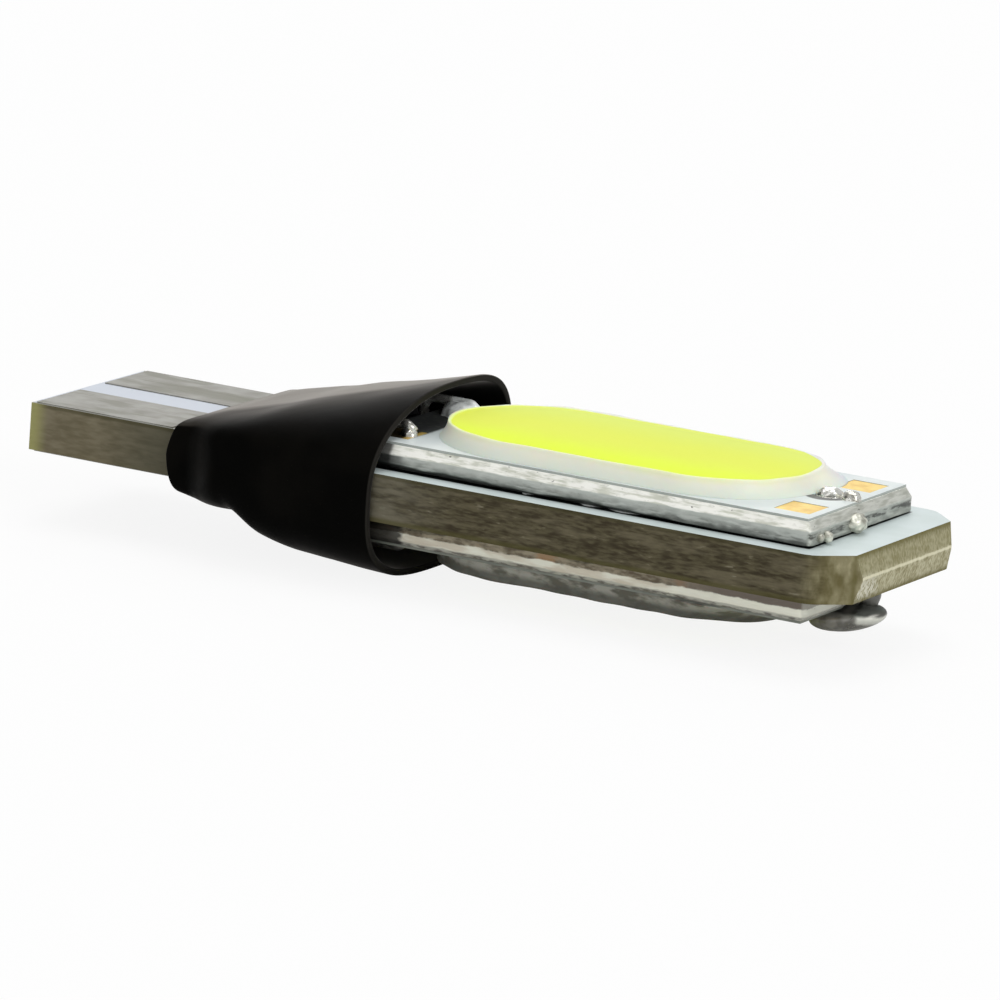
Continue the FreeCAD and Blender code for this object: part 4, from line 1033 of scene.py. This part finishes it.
def sleeve_ring(x, grow, around=168):
    """Cross-section of the bore, grown outwards: a super-ellipse that goes from a box with round corners
    at the tail to an oval at the mouth. Its crest leans to the far side, and its skin waves a little."""
    t = min(max((x - SLEEVE_START) / (SLEEVE_END - SLEEVE_START), 0.0), 1.0)
    half = over_stations(WIDTH_STATIONS, x) + grow
    top = over_stations(TOP_STATIONS, x) + grow
    depth = over_stations(DEPTH_STATIONS, x) + grow
    angle = np.linspace(0, 2 * math.pi, around, endpoint=False)
    across, up = np.cos(angle), np.sin(angle)
    mouth_power = MOUTH_POWER - NEAR_TOP_DROP * smooth(t) * ((across < 0) & (up > 0))
    top_power = 1 / (1 / TAIL_POWER + (1 / mouth_power - 1 / TAIL_POWER) * t ** 0.8)
    power = np.where(up > 0, top_power, over_stations(LOW_POWERS, x))
    reach = (np.abs(across) ** power + np.abs(up) ** power) ** (-1 / power)
    y = half * across * reach + MOUTH_LEAN * smooth(t) * np.maximum(0, up * reach) ** 3
    z = up * reach * np.where(up > 0, top, depth)
    curl = LIP_CURL * np.abs(up * reach) ** 1.5 * smooth(1 - (x - SLEEVE_START) / LIP_LEN)
    ring = np.stack([x + curl, y, z], axis=-1)
    wave = WAVE * (1 + ripple(ring, 5.0, 61)) + CRINKLE * (1 + ripple(ring, 1.3, 62))
    wave = wave * grow / WALL
    ring[:, 1] -= across * wave
    ring[:, 2] -= up * wave
    return ring


def sleeve_rings():
    """The whole sleeve as a loop: out along the outer skin, round the rim of the mouth, back along the bore
    and round the lip at the tail."""
    quarter = np.linspace(0, math.pi / 2, 6)
    body = np.linspace(SLEEVE_START + RIM, SLEEVE_END - RIM, 120)
    outer = [(x, WALL) for x in body]
    rim = [(SLEEVE_END - RIM + RIM * math.sin(a), WALL - RIM + RIM * math.cos(a)) for a in quarter[1:]]
    rim += [(SLEEVE_END, RIM * 0.4), (SLEEVE_END - RIM * 0.3, 0.0)]
    bore = [(x, 0.0) for x in body[::-2]]
    lip = [(SLEEVE_START + RIM * 0.3, 0.0), (SLEEVE_START, RIM * 0.4)]
    lip += [(SLEEVE_START + RIM - RIM * math.sin(a), WALL - RIM + RIM * math.cos(a)) for a in quarter[:0:-1]]
    return np.array([sleeve_ring(x, grow) for x, grow in outer + rim + bore + lip])


shrunk, shader, start = finish(
    "shrunk_plastic", Specular_IOR_Level=0.012, Sheen_Weight=0.30, Sheen_Roughness=0.22,
    Sheen_Tint=(1.0, 0.95, 0.9, 1.0),
)
point, (x, y, _) = place_of(start)
nz = facing(start)[2]
cloud = grain(point, 2.6)
fine = grain(point, 0.10)
tone = cloud.rise(0.35, 0.7).blend(colour(5, 5, 4), colour(11, 10, 8))
# The top of the sleeve is painted grey-brown towards its far side, palest at the far edge: a painted sheen.
far_out = y - x * 0.5 + 8.0 + (cloud - 0.5) * 1.2
painted_sheen = far_out.rise(-3.0, 1.6) * nz.rise(0.6, 0.85)
tone = (painted_sheen * 0.6).blend(tone, colour(78, 74, 68))
painted_sheen = far_out.rise(0.8, 2.6) * nz.rise(0.5, 0.8)
tone = (painted_sheen * 0.6).blend(tone, colour(170, 165, 158))
# The cut rim is painted lighter: a painted highlight.
rim = x.rise(SLEEVE_END - RIM, SLEEVE_END - RIM * 0.4)
tone = (rim * 0.4).blend(tone, colour(58, 56, 52))
feed(
    shader,
    Base_Color=tone,
    Roughness=cloud * 0.14 + fine * 0.04 + 0.34,
    Normal=bumps(start, cloud * 0.8 + fine * 0.2, 0.012),
)
tube = skin("heat_shrink_sleeve_skin", [sleeve_rings()], loop=True)
show(tube, shrunk, "shrunk_plastic", "heat_shrink_sleeve")


# Under the sleeve sit the driver parts: moulded black bodies with tinned leads, ceramic blocks with plated
# ends, and the drum of the inductor with its copper winding.
LEAD_TOP = 0.35
TURN_PITCH = 0.16
epoxy, shader, start = finish("epoxy_black")
point, (_, _, z) = place_of(start)
fine = grain(point, 0.08)
foot = abs(z).rise(BOARD_HALF_T + LEAD_TOP, BOARD_HALF_T + LEAD_TOP - 0.02)
tone = fine.rise(0.3, 0.7).blend(colour(26, 26, 27), colour(44, 44, 45))
feed(
    shader,
    Base_Color=foot.blend(tone, colour(176, 174, 168)),
    Metallic=foot * 0.8,
    Roughness=fine * 0.25 + 0.4,
    Normal=bumps(start, fine, 0.01),
)
dress(["rectifier_diodes", "driver_chip", "freewheel_diode"], epoxy)

ceramic, shader, start = finish("ceramic_part")
point, _ = place_of(start)
cloud = grain(point, 0.3)
tone = cloud.rise(0.3, 0.7).blend(colour(150, 122, 84), colour(172, 146, 106))
feed(shader, Base_Color=tone, Roughness=cloud * 0.2 + 0.45, Normal=bumps(start, cloud, 0.008))
dress(["load_resistors", "sense_resistors", "ceramic_capacitor"], ceramic)

ferrite, shader, start = finish("ferrite")
point, _ = place_of(start)
fine = grain(point, 0.06)
tone = fine.rise(0.3, 0.7).blend(colour(48, 48, 50), colour(74, 74, 76))
feed(shader, Base_Color=tone, Roughness=fine * 0.2 + 0.6, Normal=bumps(start, fine, 0.01))
dress(["inductor_core"], ferrite)

winding, shader, start = finish("enamelled_wire", Metallic=0.7, Coat_Weight=0.6, Coat_Roughness=0.1)
point, (_, _, z) = place_of(start)
turns = start.math("SINE", z * (2 * math.pi / TURN_PITCH)) * 0.5 + 0.5
tone = turns.rise(0.1, 0.7).blend(colour(112, 44, 20), colour(196, 104, 52))
feed(shader, Base_Color=tone, Roughness=turns * 0.1 + 0.25, Normal=bumps(start, turns, 0.05))
dress(["inductor_winding"], winding)
